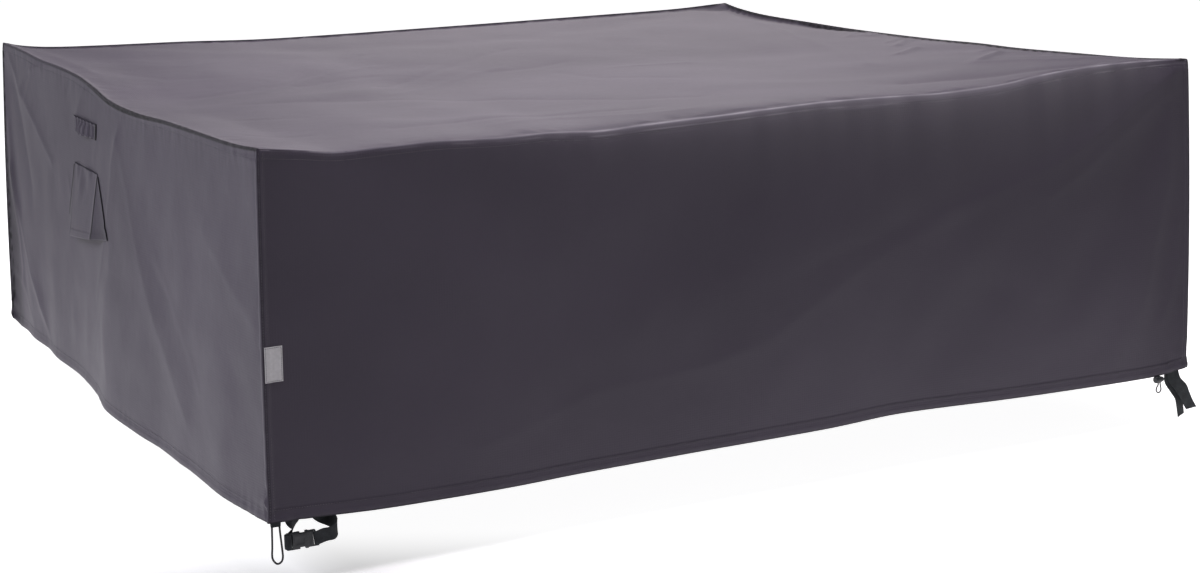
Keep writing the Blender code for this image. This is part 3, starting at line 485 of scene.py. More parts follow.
FRONT_CREASES = table(Crease, (
    (0.010, 0.0026, (0.147, 0.002, 0.225, 0.000, 0.312, 0.004, 0.426, 0.007, 0.556, 0.013, 0.689, 0.025)),
    (0.020, 0.0036, (1.063, 0.032, 0.968, -0.019, 0.899, -0.056, 0.830, -0.097, 0.709, -0.159, 0.575,
     -0.194, 0.406, -0.238)),
    (0.018, 0.0028, (1.020, -0.023, 0.942, -0.075, 0.865, -0.122, 0.795, -0.173, 0.697, -0.225)),
    (0.016, 0.0028, (1.022, -0.068, 1.020, -0.153, 1.019, -0.231, 0.989, -0.342, 0.966, -0.454, 0.951,
     -0.514)),
    (0.014, 0.0028, (1.050, -0.325, 1.051, -0.410, 1.032, -0.491, 1.011, -0.544)),
    (0.010, 0.0018, (1.086, -0.502, 1.065, -0.570)),
    (0.030, 0.0028, (0.589, -0.202, 0.406, -0.259, 0.229, -0.319, 0.106, -0.385, -0.015, -0.455, -0.180,
     -0.491, -0.407, -0.505, -0.582, -0.561, -0.668, -0.580)),
    (0.024, -0.0012, (0.668, -0.166, 0.457, -0.211, 0.253, -0.271, 0.057, -0.327)),
    (0.020, 0.0008, (-0.015, -0.165, -0.178, -0.270, -0.316, -0.396)),
    (0.020, -0.0010, (-1.074, 0.005, -1.022, 0.006, -0.946, 0.007, -0.810, -0.014)),
    (0.006, 0.0010, (-1.080, 0.022, -1.066, 0.002)),
    (0.006, -0.0008, (-1.072, 0.023, -1.055, 0.001)),
))
BACK_CREASES = table(Crease, (
    (0.016, 0.0035, (-1.050, 0.000, -0.920, -0.120, -0.800, -0.200)),
    (0.016, 0.0035, (1.040, 0.000, 0.900, -0.120, 0.760, -0.240)),
    (0.020, 0.0020, (-0.300, -0.160, -0.220, -0.400, -0.260, -0.600)),
    (0.018, 0.0018, (0.420, -0.300, 0.360, -0.480, 0.380, -0.620)),
))
RIGHT_CREASES = table(Crease, (
    (0.014, 0.0035, (-0.980, -0.040, -0.900, -0.140, -0.840, -0.300)),
    (0.014, 0.0035, (0.970, 0.000, 0.900, -0.100, 0.800, -0.200)),
    (0.020, 0.0020, (0.160, -0.200, 0.100, -0.400, 0.140, -0.600)),
    (0.018, 0.0018, (-0.440, -0.320, -0.400, -0.480, -0.460, -0.620)),
))
TOP_CREASES = table(Crease, (
    (0.018, -0.0022, (-0.901, 0.018, -0.754, 0.041, -0.655, 0.087, -0.570, 0.185, -0.314, 0.453)),
    (0.016, 0.0022, (-0.728, 0.001, -0.635, 0.073, -0.498, 0.178, -0.364, 0.259)),
    (0.016, -0.0016, (-0.622, 0.045, -0.505, 0.094, -0.417, 0.115)),
    (0.018, -0.0024, (-0.463, -0.050, -0.323, 0.048, -0.192, 0.157, -0.055, 0.282, 0.044, 0.356)),
    (0.016, 0.0016, (-0.492, -0.193, -0.380, -0.115, -0.199, 0.036, -0.097, 0.086)),
    (0.016, -0.0014, (-0.143, 0.044, -0.035, 0.048, 0.077, 0.083)),
    (0.020, -0.0022, (-0.833, -0.162, -0.670, -0.216, -0.514, -0.292, -0.333, -0.418, -0.150, -0.628,
     -0.015, -0.731)),
    (0.018, -0.0026, (-0.732, -0.797, -0.607, -0.775, -0.500, -0.776, -0.371, -0.785, -0.184, -0.819)),
    (0.022, 0.0020, (-0.546, -0.874, -0.394, -0.830, -0.255, -0.907, -0.128, -0.925)),
    (0.016, -0.0014, (-0.010, -0.064, 0.006, -0.238, 0.128, -0.397)),
    (0.020, 0.0022, (0.138, -0.089, 0.319, -0.111)),
    (0.022, 0.0035, (1.019, 0.925, 0.962, 0.689, 0.889, 0.411, 0.794, 0.137, 0.702, -0.187, 0.580, -0.493)),
    (0.026, -0.0045, (0.840, -0.990, 0.737, -0.948, 0.637, -0.903, 0.548, -0.843, 0.450, -0.814)),
    (0.014, 0.0030, (0.711, -0.717, 0.789, -0.779, 0.859, -0.866, 0.981, -0.924)),
    (0.010, 0.0048, (0.918, 0.079, 1.011, 0.179)),
    (0.010, 0.0048, (0.967, 0.087, 1.057, 0.183)),
    (0.010, 0.0044, (0.984, 0.074, 1.073, 0.165)),
    (0.010, 0.0048, (0.895, -0.134, 1.013, -0.017)),
    (0.010, 0.0048, (0.858, -0.220, 0.990, -0.088)),
    (0.010, 0.0053, (0.741, -0.385, 0.858, -0.297)),
    (0.010, 0.0057, (0.742, -0.702, 0.833, -0.621, 0.911, -0.551)),
    (0.010, 0.0044, (0.907, -0.499, 0.992, -0.424)),
    (0.020, 0.0020, (-1.044, 0.855, -1.015, 0.669, -1.026, 0.343)),
    (0.016, 0.0010, (-0.880, 0.617, -0.810, 0.513)),
    (0.014, 0.0010, (-0.855, 0.444, -0.784, 0.393, -0.698, 0.430)),
    (0.014, -0.0010, (-0.956, 0.343, -0.886, 0.218, -0.792, 0.213)),
    (0.014, -0.0010, (-0.937, -0.411, -0.813, -0.485)),
    (0.014, -0.0012, (-0.993, -0.705, -0.896, -0.771)),
))
print("wall folds:", sum(map(len, (LEFT_FOLDS, FRONT_FOLDS, BACK_FOLDS, RIGHT_FOLDS))),
      "top folds:", len(TOP_FOLDS))

# %% [markdown]
# ## Reading the tables for thousands of places at once
#
# A fine sheet has tens of thousands of corners, so the functions below work on whole arrays. `follow`
# draws a smooth curve through one column of a table. `ridge` is the building block of every fold: it is
# 1 along a line and falls off softly to both sides. `drift` is the slight unevenness that all hanging
# cloth has, made from a few long waves whose directions come from a fixed seed.

# %% Curves, ridges and unevenness
def follow(rows, at, column):
    """A smooth curve through one column of a table, read at many places along it."""
    spots = np.array([row.along for row in rows])
    values = np.array([getattr(row, column) for row in rows])
    slopes = np.empty_like(values)
    slopes[1:-1] = (values[2:] - values[:-2]) / (spots[2:] - spots[:-2])
    slopes[0], slopes[-1] = np.diff(values)[[0, -1]] / np.diff(spots)[[0, -1]]
    at = np.clip(at, spots[0], spots[-1])
    left = np.clip(np.searchsorted(spots, at, side="right") - 1, 0, len(spots) - 2)
    span = spots[left + 1] - spots[left]
    part = (at - spots[left]) / span
    ease = part * part * (3 - 2 * part)
    leaving = part * (1 - part) ** 2 * slopes[left]
    arriving = part * part * (part - 1) * slopes[left + 1]
    return values[left] * (1 - ease) + values[left + 1] * ease + span * (leaving + arriving)


def smooth(distance, reach):
    part = np.clip(distance / reach, 0.0, 1.0)
    return part * part * (3 - 2 * part)


def close_to(value, place, width):
    """1 at the place and softly less on both sides of it."""
    return np.exp(-((value - place) / width) ** 2)


def from_line(u, v, start, end):
    """The squared distance from the line between two points."""
    run_u, run_v = end[0] - start[0], end[1] - start[1]
    part = np.clip(((u - start[0]) * run_u + (v - start[1]) * run_v) / (run_u ** 2 + run_v ** 2), 0, 1)
    return (u - start[0] - run_u * part) ** 2 + (v - start[1] - run_v * part) ** 2


def ridge(u, v, start, end, width):
    """1 on the line from start to end and less beside it."""
    return np.exp(-from_line(u, v, start, end) / width ** 2)


def drift(u, v, wave, seed, count=14):
    """Soft unevenness about 0: waves of about this length that run in many directions."""
    chance = np.random.default_rng(seed)
    total = np.zeros(np.broadcast(u, v).shape)
    for _ in range(count):
        turn, phase = chance.uniform(0, 2 * math.pi, 2)
        pitch = 2 * math.pi / (wave * chance.uniform(0.6, 1.7))
        total += np.sin((u * math.cos(turn) + v * math.sin(turn)) * pitch + phase)
    return total / math.sqrt(count)


def gathers(along, away, pitch, reach, seed):
    """Puckers beside a seam: short waves along it that die out away from it, no two alike."""
    wobble = drift(along, away * 0.3, pitch * 6, seed)
    wave = drift(along + away * 0.25 * wobble, away * 0.15, pitch, seed + 1, 9)
    return wave * np.exp(-np.abs(away) / reach) * (0.6 + 0.4 * np.clip(wobble, -1, 1))


print("unevenness at the origin:", round(float(drift(np.zeros(1), np.zeros(1), 0.3, 1)[0]), 3))

# %% [markdown]
# ## From a place on a flat wall to a place in the room
#
# `hang` is that function. `at` runs along the wall and `down` goes from 0 at the seam under the top to 1
# at the hem. It returns the cloth's outer face. The fine detail comes on top of the solid's shape: a
# wall rolls over from the top in a soft curve, most of all the front, the hem and the corner lap are
# doubled cloth and stand proud with a step, and the stitching draws the cloth into small puckers.

# %% The four walls
Side = namedtuple("Side", "name half plane along outward low high top hem folds creases seed")
AXIS_X, AXIS_Y = np.array([1.0, 0, 0]), np.array([0, 1.0, 0])


def side(name, half, plane, along, outward, low, high, top, hem, folds, creases, seed):
    low_corner, high_corner = CORNERS[low], CORNERS[high]
    spread = "spread_y" if along is AXIS_X else "spread_x"
    hems = [Hem(-half, low_corner.hem, getattr(low_corner, spread)), *hem,
            Hem(half, high_corner.hem, getattr(high_corner, spread))]
    edge = [Height(-half, low_corner.top), *top, Height(half, high_corner.top)]
    return Side(name, half, plane, along, outward, low_corner, high_corner, edge, hems, folds, creases,
                seed)


FRONT = side("front", HALF_LENGTH, HALF_DEPTH, AXIS_X, -AXIS_Y, "front_left", "front_right",
             FRONT_TOP, FRONT_HEM, FRONT_FOLDS, FRONT_CREASES, 11)
BACK = side("back", HALF_LENGTH, HALF_DEPTH, AXIS_X, AXIS_Y, "back_left", "back_right",
            BACK_TOP, BACK_HEM, BACK_FOLDS, BACK_CREASES, 12)
LEFT = side("left", HALF_DEPTH, HALF_LENGTH, AXIS_Y, -AXIS_X, "front_left", "back_left",
            LEFT_TOP, LEFT_HEM, LEFT_FOLDS, LEFT_CREASES, 13)
RIGHT = side("right", HALF_DEPTH, HALF_LENGTH, AXIS_Y, AXIS_X, "front_right", "back_right",
             RIGHT_TOP, RIGHT_HEM, RIGHT_FOLDS, RIGHT_CREASES, 14)


# How the cloth rolls over from the top: how deep each wall's upper edge is drawn in and how tall the
# curve is, how high the top swells behind it, and how strong the painted highlight along the fold is.
# The long front rolls most towards its right; the left end hangs over a little instead.
Roll = namedtuple("Roll", "along deep tall swell worn")
ROLLS = {"front": table(Roll, (
             (-1.08, 0.0, 0.010, 0.0, 0.0), (-0.97, 0.003, 0.015, 0.004, 0.2),
             (-0.60, 0.008, 0.030, 0.008, 0.5), (-0.30, 0.011, 0.050, 0.009, 0.9),
             (0.00, 0.013, 0.065, 0.008, 0.9), (0.35, 0.015, 0.090, 0.006, 0.6),
             (0.75, 0.016, 0.090, 0.005, 0.8), (0.98, 0.010, 0.060, 0.004, 1.0),
             (1.08, 0.0, 0.020, 0.0, 0.6))),
         "left": table(Roll, (
             (-1.00, 0.0, 0.03, 0.0, 0.0), (-0.90, -0.003, 0.03, 0.0, 0.0), (0.00, -0.004, 0.03, 0.0, 0.0),
             (0.30, 0.0, 0.03, 0.0, 0.0), (1.00, 0.0, 0.03, 0.0, 0.0))),
         "back": table(Roll, (
             (-1.08, 0.0, 0.03, 0.0, 0.0), (-0.90, 0.006, 0.03, 0.0, 0.0), (0.90, 0.006, 0.03, 0.0, 0.0),
             (1.08, 0.0, 0.03, 0.0, 0.0))),
         "right": table(Roll, (
             (-1.00, 0.0, 0.03, 0.0, 0.0), (-0.80, 0.006, 0.03, 0.0, 0.0), (0.80, 0.006, 0.03, 0.0, 0.0),
             (1.00, 0.0, 0.03, 0.0, 0.0)))}


def rolled_in(face, at, from_top):
    """A quarter of an oval: flat at the top's edge and upright where the wall hangs free."""
    rolls = ROLLS[face.name]
    share = 1 - np.clip(from_top / follow(rolls, at, "tall"), 0, 1)
    return follow(rolls, at, "deep") * (1 - np.sqrt(1 - share ** 2))


def seam_drop(face, at):
    """How far below the top's upper face a wall starts: where the front rolls, it starts higher up."""
    raised = smooth(follow(ROLLS["front"], at, "deep"), 0.004) if face.name == "front" else 0.0
    return SEAM_DROP - FRONT_RAISED * raised


SIDES = {face.name: face for face in (FRONT, BACK, LEFT, RIGHT)}
# For each wall: which wall it meets at its low and its high end, and which end of that wall.
NEIGHBOURS = {"front": (("left", -1), ("right", -1)), "back": (("left", 1), ("right", 1)),
              "left": (("front", -1), ("back", -1)), "right": (("front", 1), ("back", 1))}


def edge(face, at):
    """Height and inward bow of the top's edge."""
    return follow(face.top, at, "height"), EDGE_BOW * (1 - (at / face.half) ** 2)


def creased(creases, u, v):
    """The sum of all creases at these places; a crease runs along a line of several points."""
    total = np.zeros(np.broadcast(u, v).shape)
    for crease in creases:
        spots = list(zip(crease.line[::2], crease.line[1::2]))
        nearest = np.full(total.shape, 1e9)
        for start, end in zip(spots, spots[1:]):
            nearest = np.minimum(nearest, from_line(u, v, start, end))
        share = nearest / crease.width ** 2
        total += crease.rise * (1.12 * np.exp(-np.sqrt(share + 0.012)))
    return total


def detail(face, at, height, down, top_height):
    """Everything that the plain solid leaves out, as a distance outwards."""
    from_top = top_height - height
    from_hem = WALL_HEIGHT * (1 - down)
    from_side = face.half - np.abs(at)
    run = np.clip(at, -face.half + CORNER_EVEN, face.half - CORNER_EVEN)
    run_side = face.half - CORNER_EVEN - np.abs(run)
    calm = smooth(from_side, 0.03) * smooth(from_top, 0.03) * (0.3 + 0.7 * smooth(from_hem - 0.02, 0.05))
    out = creased(face.creases, at, height) * calm
    out += 0.0006 * drift(at, height, 0.16, face.seed) * calm
    out -= rolled_in(face, at, np.maximum(from_top, 0))
    # The upper seam: cloth rounds back under the top's rolled edge and puckers below the topstitching.
    out -= 0.0004 * (1 - smooth(from_top, 0.006)) ** 2
    out -= 0.0003 * close_to(from_top, TOPSTITCH, 0.0022)
    out += 0.0008 * gathers(run, from_top - TOPSTITCH, 0.022, 0.022, face.seed + 20)
    # The hem: doubled cloth with a cord in its fold.
    raised, step, groove = (0.0004, 0.010, 0.0) if face is LEFT else (HEM_RAISE, STEP, 0.0002)
    in_hem = smooth(HEM_WIDTH - from_hem + step / 2, step)
    out += raised * in_hem - groove * close_to(from_hem, HEM_WIDTH - 0.001, 0.0018)
    out += 0.0016 * in_hem * close_to(from_hem, 0.007, 0.008)
    drawn = 0.35 + 1.3 * close_to(run_side, 0, 0.10)
    out += 0.0012 * drawn * gathers(run, from_hem - 0.012, 0.026, 0.026, face.seed + 40)
    corner_drawn = 0.3 + close_to(run_side, 0, 0.07)
    out += 0.0009 * corner_drawn * gathers(run, from_hem - 0.02, 0.011, 0.02, face.seed + 50)
    # The corner seams: a lap on the long walls, and puckers that the stitching draws in.
    ends = close_to(from_top, 0, 0.06) + close_to(from_hem, 0, 0.08)
    puckers = gathers(height, run_side - 0.005, 0.030, 0.018, face.seed + 60)
    out += (0.0007 + 0.0022 * ends) * puckers * smooth(run_side, 0.006)
    out += 0.0012 * close_to(run_side, 0.002, 0.004) * smooth(from_top, 0.02)
    if face.along is AXIS_X:
        in_lap = smooth(LAP_WIDTH - from_side + STEP / 2, STEP)
        out += LAP_RAISE * in_lap * (1 - in_hem)
        for row in LAP_ROWS:
            out -= 0.0005 * close_to(from_side, row, 0.0011)
    return out


def hang(face, at, down, lift=0.0, fine=True):
    """A place on a wall's outer face, for whole arrays of places along and down it."""
    at, down = np.broadcast_arrays(np.asarray(at, float), np.asarray(down, float))
    edge_height, bow = edge(face, at)
    top_height = edge_height - seam_drop(face, at)
    height = top_height + (follow(face.hem, at, "height") - top_height) * down
    near_low = (face.low.spread_x, face.low.spread_y)[face.along is not AXIS_X]
    near_high = (face.high.spread_x, face.high.spread_y)[face.along is not AXIS_X]
    spread = np.where(at > 0, near_high, near_low)
    reach = at / face.half
    bulge = CORNER_BULGE * np.sin(math.pi * down)
    calm = smooth(face.half - np.abs(at), SEAM_CALM) * smooth(top_height - height, SEAM_CALM)
    calm = calm * (1 - 0.75 * smooth(down - 0.80, 0.16)) * FOLD_SHARE[face.name]
    folds = sum(fold.rise * ridge(at, height, (fold.along, fold.height),
                                  (fold.to_along, fold.to_height), fold.width)
                for fold in face.folds)
    out = face.plane - bow * (1 - down) + follow(face.hem, at, "flare") * down + bulge
    out = out + calm * folds + lift
    shift = spread * down * reach * np.abs(reach) + bulge * reach
    if fine:
        out = out + detail(face, at, height, down, top_height)
        # At a corner seam each wall also follows the fine detail of the other, so that none gapes.
        near_corner = 1 - smooth(face.half - np.abs(at), 0.014)
        for way, other in zip((-1, 1), NEIGHBOURS[face.name]):
            end = np.full(at.shape, float(other[1] * SIDES[other[0]].half))
            shift = shift + (way * near_corner * (np.sign(at) == way)
                             * detail(SIDES[other[0]], end, height, down, top_height))
    return (face.along * (at + shift)[..., None] + face.outward * out[..., None]
            + np.array([0.0, 0, 1]) * height[..., None])


def share_down(face, at, height):
    """Which share of the way down the wall lies at this height."""
    top_height = edge(face, at)[0] - seam_drop(face, at)
    return (height - top_height) / (follow(face.hem, at, "height") - top_height)


def on_wall(face, at, height, lift=0.0, fine=True):
    return hang(face, at, share_down(face, at, height), lift, fine)


print("hem of the left end at its middle:", hang(LEFT, 0.0, 1.0).round(3).tolist())

# %% [markdown]
# ## Turning a grid of places into cloth
#
# `make_sheet` takes a grid of points on the outer face and makes a mesh of it, with a texture map in
# metres so that the weave keeps its scale. A Solidify modifier gives it its thickness, towards the
# inside. An attribute called `seam` tells the material where shade and highlight are painted into the
# cloth's colour. `tight` spaces the grid lines: wide apart in the middle, close together where there is
# detail.

# %% Sheets from grids
SHEETS = {}


def tight(low, high, step, fine_step, zones):
    """Places from low to high, step apart, and fine_step apart within the zones (from, to)."""
    spots, spot = [low], low
    while spot < high - 1e-9:
        near = any(start - fine_step <= spot <= end for start, end in zones)
        ahead = [start for start, _ in zones if start > spot + 1e-9]
        spot += fine_step if near else step
        if not near and ahead and spot > min(ahead):
            spot = min(ahead)
        spots.append(min(spot, high))
    if spots[-1] - spots[-2] < fine_step * 0.4:
        spots.pop(-2)
    return np.array(spots)


def make_sheet(name, points, flat_map, outward, thickness, material, offset=-1.0, seam=None):
    """A closed thin sheet. points and flat_map are grids: rows of columns of places. seam is how much
    shade is painted into each place, up to 1, or how much highlight is painted, below 0."""
    rows, columns = points.shape[:2]
    index = np.arange(rows * columns).reshape(rows, columns)
    quads = np.stack([index[:-1, :-1], index[:-1, 1:], index[1:, 1:], index[1:, :-1]], -1).reshape(-1, 4)
    corners = points.reshape(-1, 3)[quads]
    facing = np.cross(corners[:, 2] - corners[:, 0], corners[:, 3] - corners[:, 1]).sum(0)
    if facing @ np.asarray(outward, float) < 0:
        quads = quads[:, ::-1]
    mesh = bpy.data.meshes.new(name)
    mesh.from_pydata(points.reshape(-1, 3).tolist(), [], quads.tolist())
    layer = mesh.uv_layers.new(name="flat")
    layer.data.foreach_set("uv", flat_map.reshape(-1, 2)[quads.reshape(-1)].astype(np.float32).ravel())
    shade = mesh.attributes.new("seam", "FLOAT", "POINT")
    shade.data.foreach_set("value", np.zeros(rows * columns) if seam is None else seam.reshape(-1))
    mesh.shade_smooth()
    mesh.materials.append(material)
    sheet = bpy.data.objects.new(name, mesh)
    bpy.context.scene.collection.objects.link(sheet)
    solid = sheet.modifiers.new("thickness", "SOLIDIFY")
    solid.thickness, solid.offset = thickness, offset
    SHEETS[name] = sheet
    return sheet


def flat_grid(across, down):
    return np.stack(np.meshgrid(across, down), -1)


print("grid lines for a 1 m wall with fine ends:", len(tight(-0.5, 0.5, 0.01, 0.002, [(-0.5, -0.48)])))

# %% [markdown]
# ## The four walls
#
# Each wall is one cut of cloth. The two long walls reach round the corners with a stitched lap, and the
# two end walls stop just inside it. The grid lines crowd together at the upper seam, the hem and the
# laps, where the cloth changes within a few millimetres.

# %% Wall sheets
CLOTH = 0.0014                      # thickness of a fine sheet
TUCK = 0.0023                       # how far an end wall stops inside the long wall's face
# How wide and how dark the painted shade line is at a wall's low end and high end, and under the top's
# edge.
Shade = namedtuple("Shade", "along dark wide")
SHADED = {"front": ((0.006, 0.30), (0.003, 0.6)), "left": ((0.001, 0.0), (0.012, 0.95)),
          "back": ((0.006, 0.7), (0.010, 0.7)), "right": ((0.006, 0.6), (0.006, 0.6))}
UNDER_TOP = table(Shade, (
    (-1.00, 0.90, 0.0034), (-0.60, 0.90, 0.0040), (-0.30, 0.95, 0.0058), (-0.10, 1.00, 0.0085),
    (0.08, 1.00, 0.0075), (0.22, 0.80, 0.0036), (0.60, 0.45, 0.0025), (1.00, 0.40, 0.0025)))
ROLL_PAINTED_LIGHT = 0.38                  # how much painted light pales the rolled upper part of the front
HEM_LINE, HEM_EDGE = 0.0022, 0.0016 # widths of the painted shade line above the hem and of the painted dark outline at its lower edge
SILHOUETTE = 0.012                  # how much wider the painted shade at the left end's far edge is in its lower part


def wall_shade(face, at, from_top):
    """How much shade is painted on a wall at its seams, hem and corners, unevenly along them. Below 0 a
    highlight is painted.
    """
    (low, low_dark), (high, high_dark) = SHADED[face.name]
    uneven = 0.75 + 0.25 * np.clip(drift(at * 0.3, from_top * 0.3, 0.006, face.seed + 80), -1, 1)
    from_hem = WALL_HEIGHT - from_top
    # Painted shade: a faint line above the hem, except on the left end, and a dark outline along the hem's
    # lower edge.
    shade = (0.0 if face is LEFT else 0.12) * close_to(from_hem, HEM_WIDTH, HEM_LINE)
    shade = np.maximum(shade, 0.9 * (1 - smooth(from_hem - HEM_EDGE, 0.001)))
    if face is LEFT:
        # On the left end, painted shade under the top's edge, and a wide painted shade band where the far
        # end turns the corner.
        high = high + SILHOUETTE * smooth(from_top - 0.15, 0.20) * smooth(from_hem - 0.02, 0.06)
        dark = np.maximum(uneven, 0.85) * follow(UNDER_TOP, at, "dark")
        shade = np.maximum(shade, dark * (1 - smooth(from_top - follow(UNDER_TOP, at, "wide"), 0.002)))
        turned = (1 - smooth(face.half - at - 0.05, 0.06)) * smooth(from_top - 0.2, 0.2)
        shade = np.maximum(shade, 0.45 * turned)
    # Painted shade along both corner seams.
    for distance, width, dark in ((face.half + at, low, low_dark), (face.half - at, high, high_dark)):
        shade = np.maximum(shade, dark * (1 - smooth(distance - width + 0.0015, 0.003)) * uneven)
    if face is FRONT:
        # On the front, painted highlight: two thin glint lines along the rolled edge and a paler band that
        # stands in for the light on the rolled upper part.
        patchy = np.clip(0.6 + 0.7 * drift(at, 0 * at, 0.09, 92), 0, 1)
        tall, worn = follow(ROLLS["front"], at, "tall"), follow(ROLLS["front"], at, "worn") * patchy
        for place, strength in ((0.0006, 0.55), (0.13 * tall + 0.004, 0.35)):
            shade = shade - strength * worn * close_to(from_top, place, 0.0013)
        rolled = smooth(follow(ROLLS["front"], at, "deep") - 0.004, 0.012) * (0.75 + 0.25 * patchy)
        shade = shade - ROLL_PAINTED_LIGHT * rolled * np.exp(-from_top / (0.80 * tall))
    return shade


def wall_sheet(face, step, fine_step, row_step):
    long_wall = face.along is AXIS_X
    reach = face.half if long_wall else face.half - TUCK
    band = LAP_WIDTH + 2 * STEP
    across = tight(-reach, reach, step, fine_step, [(-reach, -reach + band), (reach - band, reach)])
    run_down = tight(0.0, WALL_HEIGHT, row_step, 0.0016,
                     [(0.0, 0.021), (WALL_HEIGHT - HEM_WIDTH - 0.006, WALL_HEIGHT)])
    grid = flat_grid(across, run_down)
    points = hang(face, grid[..., 0], grid[..., 1] / WALL_HEIGHT)
    return make_sheet(face.name + "_wall", points, grid, face.outward, CLOTH, CLOTH_PAINT,
                      seam=wall_shade(face, grid[..., 0], grid[..., 1]))


for face, step, row_step in ((FRONT, 0.0085, 0.0075), (LEFT, 0.0080, 0.0075),
                             (BACK, 0.0150, 0.0120), (RIGHT, 0.0120, 0.0110)):
    wall = wall_sheet(face, step, 0.0014, row_step)
    print(wall.name, "has", len(wall.data.vertices), "grid corners")

# %% [markdown]
# ## The top
#
# The top hangs between its four edges like a shallow hammock: each place takes its height from the four
# edges around it, and a gentle crown holds up the middle. Its folds run in from the pulled-up corners.
# The edge is turned down over the walls, and behind it the seam stands up like a low rim, because the
# seam allowances underneath are stiffer than the cloth.

# %% Top sheet
EDGE_ROLL = 0.0028                  # radius of the turned-down edge
OVERHANG = 0.0005                   # how far the edge stands out over the walls
TOP_FOLD_SHARE = 0.6                # the solid's folds are drawn this much softer


def rim(distance, deep, width):
    """A dip behind the seam: 0 at the edge, deepest about 13 mm in, then back to the cloth's height."""
    return deep * smooth(distance, 0.013) * (1 - smooth(distance - 0.013, width))


def top_surface(x, y):
    inside_x, inside_y = np.clip(x, -HALF_LENGTH, HALF_LENGTH), np.clip(y, -HALF_DEPTH, HALF_DEPTH)
    across, deep = (inside_x / HALF_LENGTH + 1) / 2, (inside_y / HALF_DEPTH + 1) / 2
    (front, front_bow), (back, back_bow) = edge(FRONT, inside_x), edge(BACK, inside_x)
    (left, left_bow), (right, right_bow) = edge(LEFT, inside_y), edge(RIGHT, inside_y)
    low_low, high_low = CORNERS["front_left"].top, CORNERS["front_right"].top
    low_high, high_high = CORNERS["back_left"].top, CORNERS["back_right"].top
    corners = ((low_low * (1 - across) + high_low * across) * (1 - deep)
               + (low_high * (1 - across) + high_high * across) * deep)
    slung = front * (1 - deep) + back * deep + left * (1 - across) + right * across - corners
    crown = CROWN * (1 - (2 * across - 1) ** 4) * (1 - (2 * deep - 1) ** 4)
    from_x, from_y = HALF_LENGTH - np.abs(inside_x), HALF_DEPTH - np.abs(inside_y)
    calm = TOP_FOLD_SHARE * smooth(from_x, EDGE_CALM) * smooth(from_y, EDGE_CALM)
    folds = sum(fold.rise * ridge(inside_x, inside_y, (fold.x, fold.y), (fold.to_x, fold.to_y), fold.width)
                for fold in TOP_FOLDS)
    height = slung + crown + calm * folds
    near = smooth(from_x, 0.03) * smooth(from_y, 0.03)
    height += near * (creased(TOP_CREASES, inside_x, inside_y)
                      + 0.0007 * drift(inside_x, inside_y, 0.22, 31))
    # The rim behind the seams, and the puckers that the seams draw in.
    height -= rim(HALF_DEPTH - inside_y, 0.0055, 0.09) * smooth(from_x, 0.05)
    lip = 0.004 + 0.009 * smooth(inside_y - 0.15, 0.35)
    height -= lip * rim(HALF_LENGTH - inside_x, 1.0, 0.15) * smooth(from_y, 0.05)
    height -= rim(HALF_LENGTH + inside_x, 0.0015, 0.05) * smooth(from_y, 0.05)
    from_front = HALF_DEPTH + inside_y
    height += (follow(ROLLS["front"], inside_x, "swell") * (1 - np.exp(-from_front / 0.040))
               * (1 - smooth(from_front - 0.08, 0.30)))
    height += 0.0014 * gathers(inside_x, from_y - 0.012, 0.024, 0.020, 41) * smooth(from_y, 0.004)
    height += 0.0014 * gathers(inside_y, from_x - 0.012, 0.024, 0.020, 43) * smooth(from_x, 0.004)
    # Past the seam the cloth turns down in a small quarter round.
    turn_x, turn_y = (np.clip(value / EDGE_ROLL, 0, math.pi / 2)
                      for value in (np.abs(x) - HALF_LENGTH, np.abs(y) - HALF_DEPTH))
    height -= EDGE_ROLL * (1 - np.cos(turn_x)) + EDGE_ROLL * (1 - np.cos(turn_y))
    out_x = np.sign(x) * EDGE_ROLL * np.sin(turn_x)
    out_y = np.sign(y) * EDGE_ROLL * np.sin(turn_y)
    # The edges are drawn in by as much as the walls roll over, so that the roll ends just over them.
    left_in, right_in, front_in, back_in = (
        (rolled_in(face, at, 0.0) + EDGE_ROLL - OVERHANG) * np.exp(-distance / 0.05)
        for face, at, distance in (
            (LEFT, inside_y, HALF_LENGTH + inside_x), (RIGHT, inside_y, HALF_LENGTH - inside_x),
            (FRONT, inside_x, from_front), (BACK, inside_x, HALF_DEPTH - inside_y)))
    return np.stack([inside_x + left_bow * (1 - across) - right_bow * across + out_x + left_in - right_in,
                     inside_y + front_bow * (1 - deep) - back_bow * deep + out_y + front_in - back_in,
                     height], -1)


def top_lines(half, step):
    roll = [half + EDGE_ROLL * turn for turn in (0.4, 0.8, 1.2, math.pi / 2)]
    inner = tight(-half, half, step, 0.0030, [(-half, -half + 0.026), (half - 0.026, half)])
    return np.array([-spot for spot in reversed(roll)] + list(inner) + roll)


def top_shade(x, y):
    """Painted shade lines where the top meets three of the walls, and below 0 a painted highlight along the
    front fold.
    """
    uneven = 0.8 + 0.2 * np.clip(drift(x * 0.3, y * 0.3, 0.007, 90), -1, 1)
    shade = np.zeros(x.shape)
    left_dark = follow(UNDER_TOP, y, "dark")
    for distance, width, dark in ((HALF_LENGTH + x, 0.002, left_dark), (HALF_DEPTH - y, 0.007, 0.9),
                                  (HALF_LENGTH - x, 0.007 + 0.012 * smooth(0.6 - y, 0.3), 0.95)):
        shade = np.maximum(shade, dark * (1 - smooth(distance - width + 0.002, 0.004)) * uneven)
    # A thin painted highlight along the front edge's fold.
    patchy = np.clip(0.6 + 0.7 * drift(x, 0 * x, 0.12, 91), 0, 1)
    return shade - 0.4 * follow(ROLLS["front"], x, "worn") * patchy * close_to(HALF_DEPTH + y, 0, 0.003)


